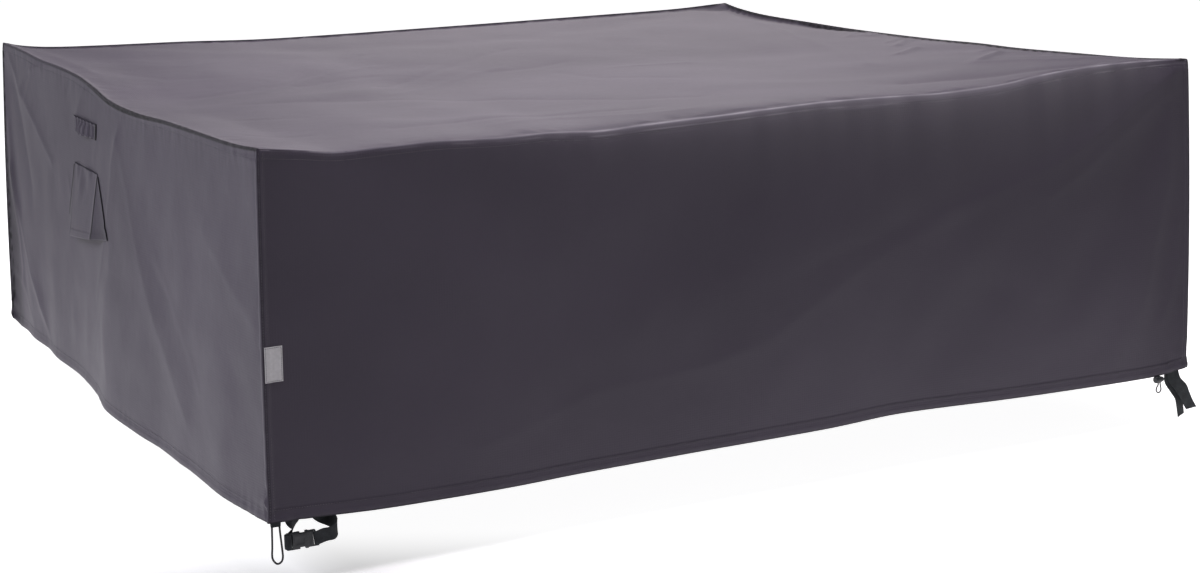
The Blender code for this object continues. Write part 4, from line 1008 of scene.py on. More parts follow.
top_grid = flat_grid(top_lines(HALF_LENGTH, 0.0105), top_lines(HALF_DEPTH, 0.0105))
top = make_sheet("top_cloth", top_surface(top_grid[..., 0], top_grid[..., 1]), top_grid, (0, 0, 1),
                 CLOTH, CLOTH_PAINT, seam=top_shade(top_grid[..., 0], top_grid[..., 1]))
print("top_cloth has", len(top.data.vertices), "grid corners")

# %% [markdown]
# ## Handle, vent and patch
#
# These are sewn on the walls, so they take their places from the wall itself: `on_wall` gives the
# cloth's face at a place along the wall and at a height. The handle is a short strip gathered into
# seven pleats, sewn down at both ends. The vent is a flap that stands off the wall at its stiffened
# lower edge, with a small triangle of cloth closing each side.

# %% Gathered grab handle
HANDLE_NEAR, HANDLE_FAR = 0.112, 0.306
HANDLE_TOP, HANDLE_HEIGHT = -0.058, 0.035
HANDLE_STAND, HANDLE_END = 0.010, 0.10
PLEATS, PLEAT_RISE = 7, 0.0030
TRIM, SEWN_LIFT = 0.0012, 0.0019


def edge_shade(along, across, along_width, across_width, strength=0.85):
    """Painted shade within these distances of two edges of a small piece, along its seams."""
    shade = np.zeros(along.shape)
    for distance, width in ((along, along_width), (across, across_width)):
        if width:
            shade = np.maximum(shade, strength * (1 - smooth(distance - width * 0.6, width * 0.6)))
    return shade


def pleat_phase(along, across):
    """0 where two pleats meet and 1 in the middle of a pleat."""
    return np.abs(np.sin(math.pi * PLEATS * along + 0.25 * np.sin(math.pi * across)))


def handle_surface(along, across):
    at = HANDLE_NEAR + (HANDLE_FAR - HANDLE_NEAR) * along
    ends = np.minimum(along, 1 - along)
    free = smooth(ends - HANDLE_END, 0.5 - HANDLE_END)
    gather = smooth(ends - 0.012, HANDLE_END)
    fold = pleat_phase(along, across)
    rim_fold = 0.0012 * close_to(np.minimum(across, 1 - across), 0.07, 0.05)
    lean = 0.25 + 0.75 * smooth(across, 0.6)        # the upper edge stays nearer the wall
    lift = SEWN_LIFT + HANDLE_STAND * free * lean + gather * (PLEAT_RISE * (1 - fold) ** 2 + rim_fold)
    sway = 0.0010 * np.sin(2 * math.pi * PLEATS * along) * gather * np.sin(2 * math.pi * across)
    return on_wall(LEFT, at, HANDLE_TOP - HANDLE_HEIGHT * across + sway, lift)


HANDLE_FLAT = (0.30, 0.035)         # the strip before it was gathered
handle_grid = flat_grid(np.linspace(0, 1, 211), np.linspace(0, 1, 29))
handle_along, handle_across = handle_grid[..., 0], handle_grid[..., 1]
pleat = pleat_phase(handle_along + 0.035, handle_across)
# Painted shade at the strip's sewn ends and along its upper edge, and painted light and shade across the
# pleats.
handle_edge_shade = edge_shade(handle_along * 0.19, handle_across * HANDLE_HEIGHT, 0.011, 0.0008, 1.0)
pleat_light_and_shade = 0.45 * smooth(0.45 - pleat, 0.3) - 0.25 * smooth(pleat - 0.6, 0.3)
make_sheet("handle_strip", handle_surface(handle_along, handle_across),
           handle_grid * np.array(HANDLE_FLAT), LEFT.outward, TRIM, TRIM_PAINT,
           seam=np.maximum(handle_edge_shade, pleat_light_and_shade))
print("handle:", round(HANDLE_FAR - HANDLE_NEAR, 3), "m long with", PLEATS, "pleats")

# %% Hooded air vent
VENT_TOP, VENT_FOOT_NEAR, VENT_FOOT_FAR = -0.167, -0.312, -0.336
VENT_NEAR, VENT_FAR, VENT_SHIFT = 0.100, 0.304, 0.010
VENT_STAND, VENT_BELLY = 0.018, 0.002
GUSSET_FOOT, FRONT_REACH, BACK_REACH = -0.297, 0.118, 0.060
GUSSET_START, GUSSET_ROOT, GUSSET_CLEAR = 0.04, 0.004, 0.0010
VENT_HEM = 0.10                     # share of the flap that is turned up at its free edge


def flap_surface(across, down):
    seam = on_wall(LEFT, VENT_NEAR + (VENT_FAR - VENT_NEAR) * across, VENT_TOP + 0 * across, SEWN_LIFT)
    free_ends = on_wall(LEFT, np.array([VENT_NEAR, VENT_FAR]) - VENT_SHIFT,
                        np.array([VENT_FOOT_NEAR, VENT_FOOT_FAR]), SEWN_LIFT + VENT_STAND)
    free = free_ends[0] * (1 - across[..., None]) + free_ends[1] * across[..., None]
    places = seam * (1 - down[..., None]) + free * down[..., None]
    swell = VENT_BELLY * np.sin(math.pi * across) * down
    swell += 0.0010 * smooth(down - (1 - VENT_HEM), 0.012)
    swell += 0.0012 * gathers(across * 0.2, down * 0.16, 0.030, 0.035, 71) * (1 - down)
    swell += 0.0014 * drift(across * 0.2, down * 0.16, 0.09, 72) * np.sin(math.pi * across) * (1 - down)
    return places + LEFT.outward * swell[..., None]


def gusset_surface(across, down, share, way, reach):
    """One side of the vent: a triangle from the hood's edge to where it is sewn on the wall."""
    beside = flap_surface(np.full(down.shape, float(share)), down) + AXIS_Y * way * GUSSET_CLEAR
    base = VENT_NEAR if share == 0 else VENT_FAR
    wall_at = base + way * (GUSSET_ROOT + reach * down)
    sewn = on_wall(LEFT, wall_at, VENT_TOP + (GUSSET_FOOT - VENT_TOP) * down, SEWN_LIFT + 0.0004)
    places = beside * (1 - across[..., None]) + sewn * across[..., None]
    sag = -0.0035 * np.sin(math.pi * across) * down
    return places + LEFT.outward * sag[..., None]


vent_grid = flat_grid(np.linspace(0, 1, 61),
                      np.concatenate([np.linspace(0, 0.88, 45), np.linspace(0.89, 1, 12)]))
hood_across, hood_down = vent_grid[..., 0], vent_grid[..., 1]
# Painted shade along the hood's sewn upper edge, and a painted highlight along its near edge.
hood_shade_and_highlight = (edge_shade(hood_down * 0.16, hood_down, 0.0012, 0)
              - 0.3 * edge_shade(hood_across * 0.2, hood_down, 0.008, 0))
make_sheet("vent_hood", flap_surface(hood_across, hood_down), vent_grid * np.array([0.20, 0.16]),
           LEFT.outward, TRIM, TRIM_PAINT, seam=hood_shade_and_highlight)
# Each side: its name, which end of the hood it closes, which way it points and how far it reaches.
GUSSETS = (("vent_side_front", 0, -1, FRONT_REACH), ("vent_side_back", 1, 1, BACK_REACH))
side_grid = flat_grid(np.linspace(0, 1, 25), np.linspace(GUSSET_START, 1, 41))
side_across, side_down = side_grid[..., 0], side_grid[..., 1]
# The sides get painted shade that grows towards their foot, and dark painted shade lines along both edges.
side_shade = 0.08 + 0.22 * smooth(side_down - 0.6, 0.4)
for name, share, way, reach in GUSSETS:
    lines = edge_shade((1 - side_across) * reach * side_down, side_across * reach * side_down,
                       0.0055, 0.006, 1.0)
    make_sheet(name, gusset_surface(side_across, side_down, share, way, reach),
               side_grid * np.array([reach, 0.15]), LEFT.outward, TRIM, TRIM_PAINT,
               seam=np.maximum(side_shade, lines))
print("vent: hood and two sides")

# %% Bare patch beside the corner seam
PATCH_LOW, PATCH_HIGH = -0.397, -0.331
PATCH_NEAR, PATCH_FAR = 0.003, 0.037        # from the corner seam
patch_grid = flat_grid(np.linspace(-HALF_LENGTH + PATCH_NEAR, -HALF_LENGTH + PATCH_FAR, 41),
                       np.linspace(PATCH_HIGH, PATCH_LOW, 61))
patch_from_side = patch_grid[..., 0] + HALF_LENGTH
patch_edge = np.minimum(np.minimum(patch_from_side - PATCH_NEAR, PATCH_FAR - patch_from_side),
                        np.minimum(PATCH_HIGH - patch_grid[..., 1], patch_grid[..., 1] - PATCH_LOW))
patch_lift = 0.0013 + LAP_RAISE * (1 - smooth(patch_from_side - LAP_WIDTH + 0.001, 0.006))
patch_lift += 0.0005 * smooth(patch_edge, 0.0015)
make_sheet("bare_patch", on_wall(FRONT, patch_grid[..., 0], patch_grid[..., 1], patch_lift, fine=False),
           patch_grid, FRONT.outward, 0.0009, PATCH_PAINT)
print("patch:", PATCH_FAR - PATCH_NEAR, "by", round(PATCH_HIGH - PATCH_LOW, 3), "m")

# %% [markdown]
# ## Webbing, buckle and cords
#
# The straps follow tables of turns: a row for each bend, with the strap's middle and the direction its
# width lies in. `through` draws one smooth curve through all the rows. Woven webbing is thicker in the
# middle than at its rounded edges, and that shows even from far off as a soft highlight along each edge.

# %% Webbing
WEBBING_WIDTH, TAIL_WIDTH, WEBBING = 0.027, 0.033, 0.0016
HEM_INSIDE = -1.0094
STRAP_TAB = (
    (-1.0510, HEM_INSIDE, -0.6420, 1.00, 0.00, 0.00), (-1.0510, HEM_INSIDE, -0.6620, 1.00, 0.05, 0.00),
    (-1.0500, -1.0060, -0.6740, 0.72, 0.68, -0.10), (-1.0480, -0.9990, -0.6850, 0.30, 0.85, -0.42),
    (-1.0500, -0.9950, -0.6960, 0.05, 0.45, -0.88), (-1.0560, -0.9985, -0.7030, 0.00, 0.08, -1.00),
    (-1.0610, -1.0012, -0.7040, 0.00, 0.00, -1.00), (-1.0650, -1.0040, -0.7040, 0.00, 0.00, -1.00),
    (-1.0656, -1.0080, -0.7040, 0.00, 0.00, -1.00), (-1.0646, -1.0125, -0.7040, 0.00, 0.00, -1.00),
    (-1.0605, -1.0147, -0.7040, 0.00, 0.00, -1.00), (-1.0562, -1.0132, -0.7040, 0.00, 0.00, -1.00),
    (-1.0554, -1.0090, -0.7040, 0.00, 0.00, -1.00),
)
LEG_STRAP = (
    (-1.0096, -1.0060, -0.7040, -0.14, 0.00, 0.99), (-1.0094, -1.0110, -0.7040, -0.14, 0.00, 0.99),
    (-1.0060, -1.0140, -0.7035, -0.16, 0.00, 0.98), (-0.9900, -1.0138, -0.7000, -0.24, 0.00, 0.96),
    (-0.9740, -1.0110, -0.7000, -0.32, 0.00, 0.95), (-0.9610, -1.0000, -0.6955, -0.15, -0.20, 0.96),
    (-0.9570, -0.9850, -0.6910, 0.05, -0.28, 0.96), (-0.9640, -0.9720, -0.6860, 0.35, 0.00, 0.94),
    (-0.9790, -0.9670, -0.6780, 0.62, 0.10, 0.78), (-0.9920, -0.9750, -0.6660, 0.82, 0.20, 0.52),
    (-0.9980, -0.9900, -0.6560, 0.95, 0.12, 0.28), (-0.9990, -1.0040, -0.6490, 0.99, 0.02, 0.10),
    (-0.9990, HEM_INSIDE, -0.6420, 1.00, 0.00, 0.00),
)
FRONT_TAIL = (
    (1.0655, -1.0091, -0.6460, 1.00, -0.04, 0.00), (1.0655, -1.0091, -0.6580, 1.00, -0.04, 0.00),
    (1.0660, -1.0092, -0.6710, 1.00, -0.04, 0.04), (1.0710, -1.0110, -0.6870, 0.98, -0.10, 0.16),
    (1.0850, -1.0155, -0.7040, 0.96, -0.10, 0.24), (1.0970, -1.0145, -0.7210, 0.97, 0.08, 0.18),
    (1.1100, -1.0125, -0.7410, 0.98, 0.12, 0.10), (1.1240, -1.0115, -0.7610, 0.99, 0.08, 0.04),
)
REAR_TAIL = (
    (1.0600, -1.0067, -0.6460, 1.00, -0.04, 0.00), (1.0600, -1.0067, -0.6580, 1.00, -0.04, 0.00),
    (1.0600, -1.0067, -0.6710, 1.00, -0.04, 0.00), (1.0630, -1.0062, -0.6900, 0.99, -0.04, 0.10),
    (1.0800, -1.0060, -0.7120, 0.93, 0.10, 0.30), (1.0880, -1.0055, -0.7260, 0.95, 0.25, 0.10),
    (1.0925, -1.0050, -0.7400, 0.92, 0.36, 0.00), (1.0995, -1.0050, -0.7760, 0.90, 0.42, 0.06),
)


def through(rows, samples):
    """A smooth curve through the rows of a table, read at evenly spread shares of its turns."""
    rows = np.array(rows, float)
    spots = np.linspace(0, len(rows) - 1, samples + 1)
    left = np.minimum(spots.astype(int), len(rows) - 2)
    part = (spots - left)[:, None]
    a, b, c, d = (rows[np.clip(left + step, 0, len(rows) - 1)] for step in (-1, 0, 1, 2))
    return 0.5 * (2 * b + (c - a) * part + (2 * a - 5 * b + 4 * c - d) * part ** 2
                  + (3 * b - a - 3 * c + d) * part ** 3)


def length_of(line):
    return float(np.linalg.norm(np.diff(line[:, :3], axis=0), axis=1).sum())


def run_along(line):
    """How far along the line each of its places is."""
    return np.concatenate([[0], np.cumsum(np.linalg.norm(np.diff(line, axis=0), axis=1))])


def round_edges(piece, width):
    rounding = piece.modifiers.new("rounded_edges", "BEVEL")
    rounding.width, rounding.segments, rounding.limit_method = width, 2, "ANGLE"
    return rounding


def add_strap(name, rows, samples, width):
    spots = through(rows, samples)
    wide = spots[:, 3:] / np.linalg.norm(spots[:, 3:], axis=1)[:, None]
    across = np.array([-0.5, -0.485, -0.44, -0.36, -0.22, -0.08, 0.08, 0.22, 0.36, 0.44, 0.485, 0.5])
    middle, ahead = spots[:, :3], np.gradient(spots[:, :3], axis=0)
    flat_side = np.cross(wide, ahead / np.linalg.norm(ahead, axis=1)[:, None])
    curl = 0.0003 * (1 - (2 * across) ** 6)
    points = (middle[:, None] + wide[:, None] * (across * width)[None, :, None]
              + flat_side[:, None] * curl[None, :, None])
    strap = make_sheet(name, points, flat_grid(across * width, run_along(middle)), -AXIS_Y,
                       WEBBING, WEBBING_PAINT, 0.0)
    round_edges(strap, 0.0005)
    return length_of(spots)


STRAP_LENGTHS = {name: add_strap(name, rows, samples, width) for name, rows, samples, width in (
    ("buckle_tab_webbing", STRAP_TAB, 120, WEBBING_WIDTH), ("leg_webbing", LEG_STRAP, 140, WEBBING_WIDTH),
    ("front_tail_webbing", FRONT_TAIL, 70, TAIL_WIDTH), ("rear_tail_webbing", REAR_TAIL, 70, TAIL_WIDTH))}
for name, length in STRAP_LENGTHS.items():
    print(f"{name}: {length:.3f} m")

# %% [markdown]
# ## Side-release buckle
#
# The socket is a flat shell with a slot for its webbing, a raised lip around its mouth and a notch in
# each edge where the sprung arms of the plug show. Each half starts as a box with its edges divided,
# is shaped in code, and then gets its slots cut and its edges rounded.

# %% Buckle halves
BUCKLE_MIDDLE, BUCKLE_HEIGHT = -1.008, -0.704
Block = namedtuple("Block", "start end height thickness")
SOCKET = Block(-1.0630, -1.0215, 0.034, 0.0090)
SOCKET_SLOT = Block(-1.0585, -1.0525, 0.029, 0.030)
PLUG = Block(-1.0212, -1.0040, 0.0315, 0.0075)
PLUG_SLOT = Block(-1.0120, -1.0072, 0.029, 0.030)
NOTCH = Block(-1.0380, -1.0270, 0.0080, 0.030)              # in the socket's edges
SOCKET_WINDOW = Block(-1.0475, -1.0300, 0.0150, 0.0012)     # shallow, framed by the shell
PLUG_GROOVE = Block(-1.0190, -1.0165, 0.0240, 0.0010)
PLUG_LEAN = math.tan(math.radians(-12))


def block_object(name, block, shape=lambda along, thick, up: (along, thick, up), parts=(12, 4, 8)):
    """A box of many faces, each corner moved by shape(share along, thickness, height)."""
    bm = bmesh.new()
    bmesh.ops.create_cube(bm, size=1.0)
    for axis, count in enumerate(parts):
        for k in range(1, count):
            plane, normal = Vector((0, 0, 0)), Vector((0, 0, 0))
            plane[axis], normal[axis] = k / count - 0.5, 1
            bmesh.ops.bisect_plane(bm, geom=bm.verts[:] + bm.edges[:] + bm.faces[:], plane_co=plane,
                                   plane_no=normal, dist=1e-6)
    for vert in bm.verts:
        share, thick, up = vert.co.x + 0.5, vert.co.y * block.thickness, vert.co.z * block.height
        along, thick, up = shape(block.start + (block.end - block.start) * share, thick, up)
        vert.co = Vector((along, BUCKLE_MIDDLE + thick, BUCKLE_HEIGHT + up))
    mesh = bpy.data.meshes.new(name)
    bm.to_mesh(mesh)
    bm.free()
    piece = bpy.data.objects.new(name, mesh)
    bpy.context.scene.collection.objects.link(piece)
    return piece


def lean(along):
    return PLUG_LEAN * (along - PLUG.start) / (PLUG.end - PLUG.start)


def socket_shape(along, thick, up):
    """A shell that narrows a little towards its webbing, with rounded sides and a raised lip."""
    share = (along - SOCKET.start) / (SOCKET.end - SOCKET.start)
    lip = 0.0006 * math.exp(-((share - 0.95) / 0.05) ** 2)
    dome = 1 - 0.30 * (abs(up) / (SOCKET.height / 2)) ** 4
    waist = 1 - 0.05 * (1 - share)
    return along, (thick + math.copysign(lip, thick)) * dome, up * waist


def plug_shape(along, thick, up):
    dome = 1 - 0.25 * (abs(up) / (PLUG.height / 2)) ** 4
    return along + lean(along) * up, thick * dome, up


def carve(piece, cutters, width):
    """Cuts the slots and notches, rounds the edges, and keeps the result as the piece's own mesh."""
    for cutter in cutters:
        boolean = piece.modifiers.new("cut", "BOOLEAN")
        boolean.operation, boolean.solver, boolean.object = "DIFFERENCE", "EXACT", cutter
    round_edges(piece, width).angle_limit = math.radians(40)
    bpy.context.view_layer.update()
    ready = bpy.data.meshes.new_from_object(piece.evaluated_get(bpy.context.evaluated_depsgraph_get()))
    piece.modifiers.clear()
    piece.data = ready
    piece.data.materials.clear()
    piece.data.materials.append(PLASTIC_PAINT)
    piece.data.shade_smooth()
    piece.data.set_sharp_from_angle(angle=math.radians(35))
    for cutter in cutters:
        bpy.data.objects.remove(cutter)
    return piece


def cutter(block, up=0.0, out=0.0, leaning=False):
    """A box to cut with, moved up and out of the middle, or leaning like the plug."""
    def shape(along, thick, height):
        return along + (lean(along) * height if leaning else 0.0), thick + out, height + up
    tool = block_object("cutter", block, shape, (1, 1, 6 if leaning else 1))
    tool.hide_render = True
    return tool


socket_cuts, plug_cuts = [cutter(SOCKET_SLOT)], [cutter(PLUG_SLOT, leaning=True)]
for way in (-1, 1):
    socket_cuts.append(cutter(NOTCH, way * SOCKET.height / 2))
    socket_cuts.append(cutter(SOCKET_WINDOW, 0.0, way * SOCKET.thickness / 2))
    plug_cuts.append(cutter(PLUG_GROOVE, 0.0, way * PLUG.thickness / 2))
buckle_socket_shell = carve(block_object("socket_shell", SOCKET, socket_shape), socket_cuts, 0.0007)
buckle_plug_bar = carve(block_object("plug_bar", PLUG, plug_shape), plug_cuts, 0.0006)
for half in (buckle_socket_shell, buckle_plug_bar):
    print(half.name, "has", len(half.data.polygons), "faces")

# %% [markdown]
# ## Cords and the cord lock
#
# A braided cord is round with strands that wind around it both ways. Each cord is a tube along its own
# smooth route, with the strands raised a few hundredths of a millimetre.

# %% Cords
DRAWCORD_LOOP = (
    (-1.0902, -1.0091, -0.6713), (-1.0905, -1.0094, -0.6800), (-1.0913, -1.0104, -0.6950),
    (-1.0922, -1.0112, -0.7100), (-1.0932, -1.0116, -0.7210), (-1.0927, -1.0118, -0.7295),
    (-1.0893, -1.0118, -0.7365), (-1.0842, -1.0116, -0.7410), (-1.0788, -1.0114, -0.7405),
    (-1.0742, -1.0112, -0.7362), (-1.0725, -1.0110, -0.7290), (-1.0727, -1.0106, -0.7200),
    (-1.0736, -1.0100, -0.7050), (-1.0746, -1.0094, -0.6900), (-1.0753, -1.0092, -0.6790),
    (-1.0756, -1.0091, -0.6713),
)
LOCK_LOOP = (
    (1.0208, -1.0130, -0.6840), (1.0196, -1.0132, -0.6915), (1.0166, -1.0136, -0.6955),
    (1.0143, -1.0138, -0.7005), (1.0150, -1.0140, -0.7055), (1.0190, -1.0140, -0.7090),
    (1.0240, -1.0140, -0.7088), (1.0276, -1.0140, -0.7050), (1.0280, -1.0138, -0.7000),
    (1.0266, -1.0134, -0.6940), (1.0249, -1.0130, -0.6840),
)
DRAWCORD, THIN_CORD = 0.004, 0.003


def tube_faces(rings, sides):
    """Faces between rings of corners, and a fan over each end to a point that comes after the rings."""
    turns = [(i, (i + 1) % sides) for i in range(sides)]
    faces = [(k * sides + i, (k + 1) * sides + i, (k + 1) * sides + j, k * sides + j)
             for k in range(rings - 1) for i, j in turns]
    tip, last = rings * sides, (rings - 1) * sides
    return faces + [(i, j, tip) for i, j in turns] + [(last + j, last + i, tip + 1) for i, j in turns]


def add_tube(name, rings, ends, material):
    """A closed tube through rings of corners, with its two end points."""
    mesh = bpy.data.meshes.new(name)
    points = [*rings.reshape(-1, 3).tolist(), *map(tuple, ends)]
    mesh.from_pydata(points, [], tube_faces(*rings.shape[:2]))
    bm = bmesh.new()
    bm.from_mesh(mesh)
    bmesh.ops.recalc_face_normals(bm, faces=bm.faces)
    bm.to_mesh(mesh)
    bm.free()
    mesh.shade_smooth()
    mesh.materials.append(material)
    piece = bpy.data.objects.new(name, mesh)
    bpy.context.scene.collection.objects.link(piece)
    return piece


def add_cord(name, rows, diameter, samples, sides=16):
    """A closed tube along the route, with the crossing strands of a braid."""
    line = through(rows, samples)
    ahead = np.gradient(line, axis=0)
    ahead /= np.linalg.norm(ahead, axis=1)[:, None]
    out = np.cross(ahead, [0.0, 1.0, 0.0])
    out /= np.linalg.norm(out, axis=1)[:, None]
    side_way = np.cross(ahead, out)
    turn = np.arange(sides) * 2 * math.pi / sides
    wound = run_along(line)[:, None] * 900
    strand = np.abs(np.sin(3 * turn[None] + wound) * np.sin(3 * turn[None] - wound))
    radius = diameter / 2 * (1 - 0.07 + 0.07 * strand)
    rings = line[:, None] + radius[..., None] * (out[:, None] * np.cos(turn)[None, :, None]
                                                 + side_way[:, None] * np.sin(turn)[None, :, None])
    return add_tube(name, rings, (line[0], line[-1]), CORD_PAINT), line


drawcord, drawcord_line = add_cord("drawcord", DRAWCORD_LOOP, DRAWCORD, 220)
lock_cord, lock_cord_line = add_cord("lock_cord", LOCK_LOOP, THIN_CORD, 120)
print(f"drawcord loop {length_of(drawcord_line):.3f} m, lock loop {length_of(lock_cord_line):.3f} m")

# %% Tab that the drawcord comes out of
TAB_TOP, TAB_FOOT, TAB_MIDDLE, TAB_FACE = -0.6480, -0.6710, -1.0829, -1.0106
TAB_HALF_WIDTH, TAB_TAPER, TAB_THICKNESS = 0.0115, 0.0020, 0.0030
tab_grid = flat_grid(np.linspace(-1, 1, 25), np.linspace(0, 1, 25))
tab_half = TAB_HALF_WIDTH - TAB_TAPER * tab_grid[..., 1]
tab_points = np.stack([TAB_MIDDLE + tab_grid[..., 0] * tab_half,
                       TAB_FACE + 0.0002 * np.abs(tab_grid[..., 0]) ** 3,
                       TAB_TOP + (TAB_FOOT - TAB_TOP) * tab_grid[..., 1]], -1)
drawcord_tab_webbing = make_sheet("drawcord_tab_webbing", tab_points, tab_grid * np.array([0.0115, 0.023]),
                                  -AXIS_Y, TAB_THICKNESS, WEBBING_PAINT)
round_edges(drawcord_tab_webbing, 0.0006)
print("drawcord tab:", 2 * TAB_HALF_WIDTH, "m wide,", round(TAB_TOP - TAB_FOOT, 3), "m long")

# %% Cord lock
LOCK_MIDDLE, LOCK_DEPTH, LOCK_RADIUS = 1.0225, -1.0130, 0.0082
LOCK_HEIGHT = -0.6703 - 0.0003 - LOCK_RADIUS
LOCK_STEPS, LOCK_RIBS = 64, 16


def add_turned(name, profile, rib):
    """A turned piece about the lock's axis, with fine ribs for the fingers where the profile says 1."""
    turn = 2 * math.pi * np.arange(LOCK_STEPS) / LOCK_STEPS
    along, radius, ribbed = np.array(profile, float).T[..., None]
    reach = radius - rib * ribbed * (0.5 + 0.5 * np.cos(LOCK_RIBS * turn))
    rings = np.stack([LOCK_MIDDLE + along + 0 * turn, LOCK_DEPTH + reach * np.cos(turn),
                      LOCK_HEIGHT + reach * np.sin(turn)], -1)
    ends = [(LOCK_MIDDLE + float(along[row, 0]), LOCK_DEPTH, LOCK_HEIGHT) for row in (0, -1)]
    piece = add_tube(name, rings, ends, PLASTIC_PAINT)
    piece.data.set_sharp_from_angle(angle=math.radians(50))
    return piece


lock_shell = add_turned("lock_shell", (
    (0.0030, 0.0030, 0), (0.0030, 0.0068, 0), (0.0027, 0.0074, 0), (0.0018, 0.0080, 0),
    (0.0010, 0.0082, 1), (-0.0020, 0.0082, 1), (-0.0050, 0.0082, 1), (-0.0080, 0.0082, 1),
    (-0.0086, 0.0080, 0), (-0.0105, 0.0077, 0), (-0.0118, 0.0070, 0), (-0.0125, 0.0060, 0),
    (-0.0125, 0.0030, 0)), 0.0004)
lock_push = add_turned("lock_push", (
    (0.0105, 0.0020, 0), (0.0105, 0.0042, 0), (0.0101, 0.0049, 0), (0.0090, 0.0056, 0),
    (0.0080, 0.0060, 0), (0.0050, 0.0060, 0), (0.0033, 0.0060, 0), (0.0033, 0.0020, 0)), 0.0)
print("cord lock:", len(lock_shell.data.polygons) + len(lock_push.data.polygons), "faces")

# %% [markdown]
# ## Stitches
#
# A seam is hundreds of equal stitches, so one small spindle is placed by Geometry Nodes at an even pitch
# along each line of sewing, turned to follow the line, with a slight change of size from one to the
# next. The result is kept as a plain mesh. The rows lie on the finished cloth, a little sunk in.

# %% Stitch rows by Geometry Nodes
STITCH_PITCH, STITCH_LENGTH, STITCH_RADIUS = 0.0052, 0.0036, 0.0005


def spindle_mesh(length, radius, sides=5):
    """One stitch: a short thread that dives into the cloth at both ends."""
    rings = ((-0.42, 0.62), (0.0, 1.0), (0.42, 0.62))
    turns = [2 * math.pi * k / sides for k in range(sides)]
    points = [(along * length, radius * share * math.cos(turn), radius * share * math.sin(turn))
              for along, share in rings for turn in turns]
    mesh = bpy.data.meshes.new("stitch")
    mesh.from_pydata([*points, (-0.5 * length, 0, 0), (0.5 * length, 0, 0)], [],
                     tube_faces(len(rings), sides))
    mesh.shade_smooth()
    return mesh


stitch = bpy.data.objects.new("stitch", spindle_mesh(STITCH_LENGTH, STITCH_RADIUS))


def stitch_tree():
    """Places one stitch at an even pitch along every line of a mesh."""
    tree = bpy.data.node_groups.new("stitch_rows", "GeometryNodeTree")
    tree.is_modifier = True
    for name, kind in (("Geometry", "Geometry"), ("Pitch", "Float"), ("Seed", "Int"), ("Stitch", "Object"),
                       ("Thread", "Material")):
        tree.interface.new_socket(name, in_out="INPUT", socket_type="NodeSocket" + kind)
    tree.interface.new_socket("Geometry", in_out="OUTPUT", socket_type="NodeSocketGeometry")
    given = add_node(tree, "NodeGroupInput").outputs
    curve = add_node(tree, "GeometryNodeMeshToCurve", {"Mesh": given["Geometry"]})
    spread = add_node(tree, "GeometryNodeResampleCurve",
                      {"Curve": curve.outputs["Curve"], "Length": given["Pitch"]}, mode="LENGTH")
    one = add_node(tree, "GeometryNodeObjectInfo", {"Object": given["Stitch"]})
    way = add_node(tree, "GeometryNodeInputTangent")
    turn = add_node(tree, "FunctionNodeAlignRotationToVector", {"Vector": way.outputs["Tangent"]},
                    axis="X")
    size = add_node(tree, "FunctionNodeRandomValue",
                    {0: (0.86, 0.9, 0.9), 1: (1.06, 1.1, 1.1), "Seed": given["Seed"]},
                    data_type="FLOAT_VECTOR")
    place = add_node(tree, "GeometryNodeInstanceOnPoints",
                     {"Points": spread.outputs["Curve"], "Instance": one.outputs["Geometry"],
                      "Rotation": turn.outputs["Rotation"], "Scale": size.outputs[0]})
    real = add_node(tree, "GeometryNodeRealizeInstances", {"Geometry": place.outputs["Instances"]})
    paint = add_node(tree, "GeometryNodeSetMaterial",
                     {"Geometry": real.outputs["Geometry"], "Material": given["Thread"]})
    add_node(tree, "NodeGroupOutput", {"Geometry": paint.outputs["Geometry"]})
    return tree


STITCH_TREE = stitch_tree()
STITCHES = {}


def sew(name, lines, seed, pitch=STITCH_PITCH):
    """One piece that holds all the stitch rows of one panel. Each line is an array of places."""
    points, edges = [], []
    for line in lines:
        start = len(points)
        points.extend(map(tuple, line))
        edges.extend((start + k, start + k + 1) for k in range(len(line) - 1))
    mesh = bpy.data.meshes.new(name)
    mesh.from_pydata(points, edges, [])
    rows = bpy.data.objects.new(name, mesh)
    bpy.context.scene.collection.objects.link(rows)
    sewing = rows.modifiers.new("sewing", "NODES")
    sewing.node_group = STITCH_TREE
    wanted = {"Pitch": pitch, "Seed": seed, "Stitch": stitch, "Thread": THREAD_PAINT}
    for item in STITCH_TREE.interface.items_tree:
        if item.in_out == "INPUT" and item.name in wanted:
            sewing[item.identifier] = wanted[item.name]
    bpy.context.view_layer.update()
    ready = bpy.data.meshes.new_from_object(rows.evaluated_get(bpy.context.evaluated_depsgraph_get()))
    rows.modifiers.clear()
    rows.data = ready
    STITCHES[name] = rows
    return rows


def wall_rows(face):
    """The hem's row, the topstitched row and, on the long walls, two rows in each corner lap."""
    at = np.linspace(-face.half + 0.004, face.half - 0.004, 900)
    hem = 1 - (HEM_WIDTH - 0.0016) / WALL_HEIGHT
    rows = [hang(face, at, hem, 0.0001), hang(face, at, TOPSTITCH / WALL_HEIGHT, 0.0001)]
    if face.along is AXIS_X:
        down = np.linspace(0.012, 0.988, 500)
        for way in (-1, 1):
            rows += [hang(face, np.full(down.shape, way * (face.half - row)), down, 0.0001)
                     for row in LAP_ROWS]
    return rows


for face in (FRONT, LEFT, BACK, RIGHT):
    sewn = sew(face.name + "_stitches", wall_rows(face), face.seed)
    print(sewn.name, "has", len(sewn.data.polygons), "faces")

# %% Stitches of the trim
share = np.linspace(0.01, 0.99, 160)


def handle_row(along, across):
    return handle_surface(np.broadcast_to(along, share.shape), np.broadcast_to(across, share.shape))


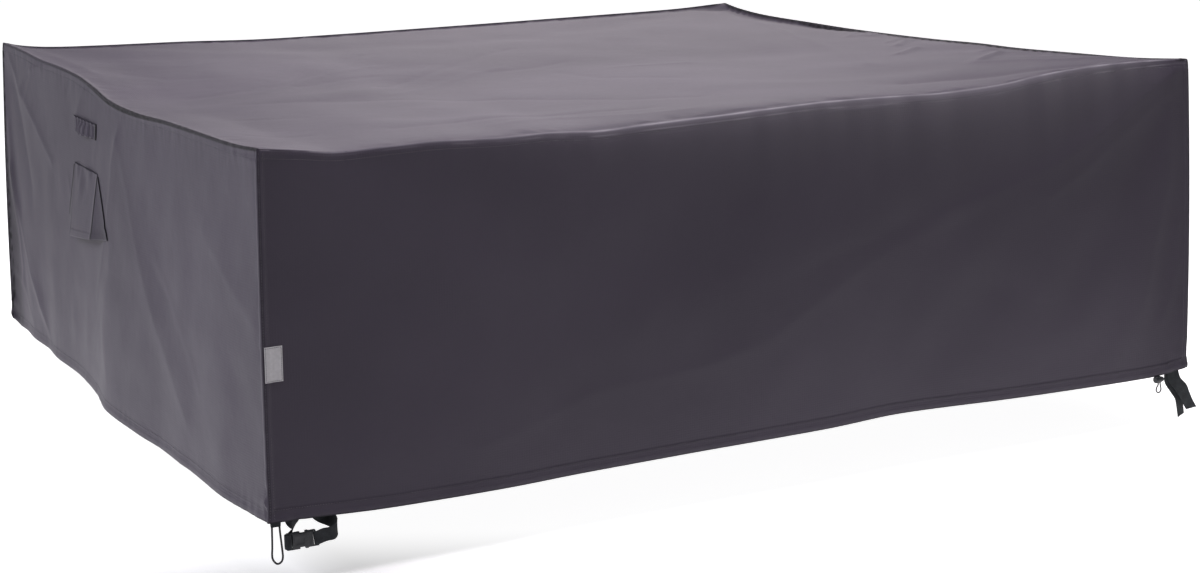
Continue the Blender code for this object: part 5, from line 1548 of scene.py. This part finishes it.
sew("handle_stitches", [handle_row(0.03, share), handle_row(0.97, share), handle_row(share, 0.10),
                        handle_row(share, 0.90)], 51, 0.0042)
hood_rows = [flap_surface(share, np.full(share.shape, down)) for down in (0.03, 1 - VENT_HEM)]
hood_rows += [flap_surface(np.full(share.shape, across), share) for across in (0.015, 0.985)]
side_share = GUSSET_START + (1 - GUSSET_START) * share
for _, hood_end, way, reach in GUSSETS:
    hood_rows.append(gusset_surface(np.full(share.shape, 0.96), side_share, hood_end, way, reach))
sew("vent_stitches", hood_rows, 52, 0.0045)

patch_in = 0.0022
patch_left, patch_right = PATCH_NEAR + patch_in - HALF_LENGTH, PATCH_FAR - patch_in - HALF_LENGTH
patch_high, patch_low = PATCH_HIGH - patch_in, PATCH_LOW + patch_in
outline = [(patch_left, patch_high), (patch_right, patch_high), (patch_right, patch_low),
           (patch_left, patch_low), (patch_left, patch_high)]
around = np.concatenate([np.linspace(a, b, 40) for a, b in zip(outline, outline[1:])])
around_lift = 0.0019 + LAP_RAISE * (1 - smooth(around[:, 0] + HALF_LENGTH - LAP_WIDTH + 0.001, 0.006))
sew("patch_stitches", [on_wall(FRONT, around[:, 0], around[:, 1], around_lift, fine=False)], 53, 0.0036)
print("rows of stitches:", ", ".join(STITCHES))

# %% [markdown]
# ## Tying the pieces to the frame
#
# Each visual piece names the solids that it stands for, the body that it moves with and its material
# slot. Each sheet's texture map is laid out in metres, the flat size of its cut, and the lengths of the
# straps and cords are printed where they are made.

# %% Ride and replace, with each piece's slot named
Dressed = namedtuple("Dressed", "piece node slot")
DRESSED = [Dressed(SHEETS[name], node, slot) for name, node, slot in (
    ("top_cloth", "top_panel", "cloth"), ("front_wall", "front_panel", "cloth"),
    ("back_wall", "back_panel", "cloth"), ("left_wall", "left_panel", "cloth"),
    ("right_wall", "right_panel", "cloth"), ("handle_strip", "grab_handle", "cloth"),
    ("vent_hood", "vent_flap", "cloth"), ("vent_side_front", "vent_gusset_front", "cloth"),
    ("vent_side_back", "vent_gusset_back", "cloth"), ("bare_patch", "corner_patch", "patch"),
    ("buckle_tab_webbing", "strap_tab", "webbing"), ("leg_webbing", "leg_strap", "webbing"),
    ("front_tail_webbing", "front_tail", "webbing"), ("rear_tail_webbing", "rear_tail", "webbing"),
    ("drawcord_tab_webbing", "drawcord_tab", "webbing"),
)]
DRESSED += [Dressed(piece, node, slot) for piece, node, slot in (
    (buckle_socket_shell, "buckle_socket", "plastic"), (buckle_plug_bar, "buckle_plug", "plastic"),
    (lock_shell, "lock_barrel", "plastic"), (lock_push, "lock_button", "plastic"),
    (drawcord, "drawcord_loop", "cord"), (lock_cord, "lock_loop", "cord"),
)]
for dressed in DRESSED:
    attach(dressed.piece, "root")
    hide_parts(dressed.node)
for name in STITCHES:
    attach(STITCHES[name], "root")
print(len(DRESSED), "pieces stand for", len(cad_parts), "solids")
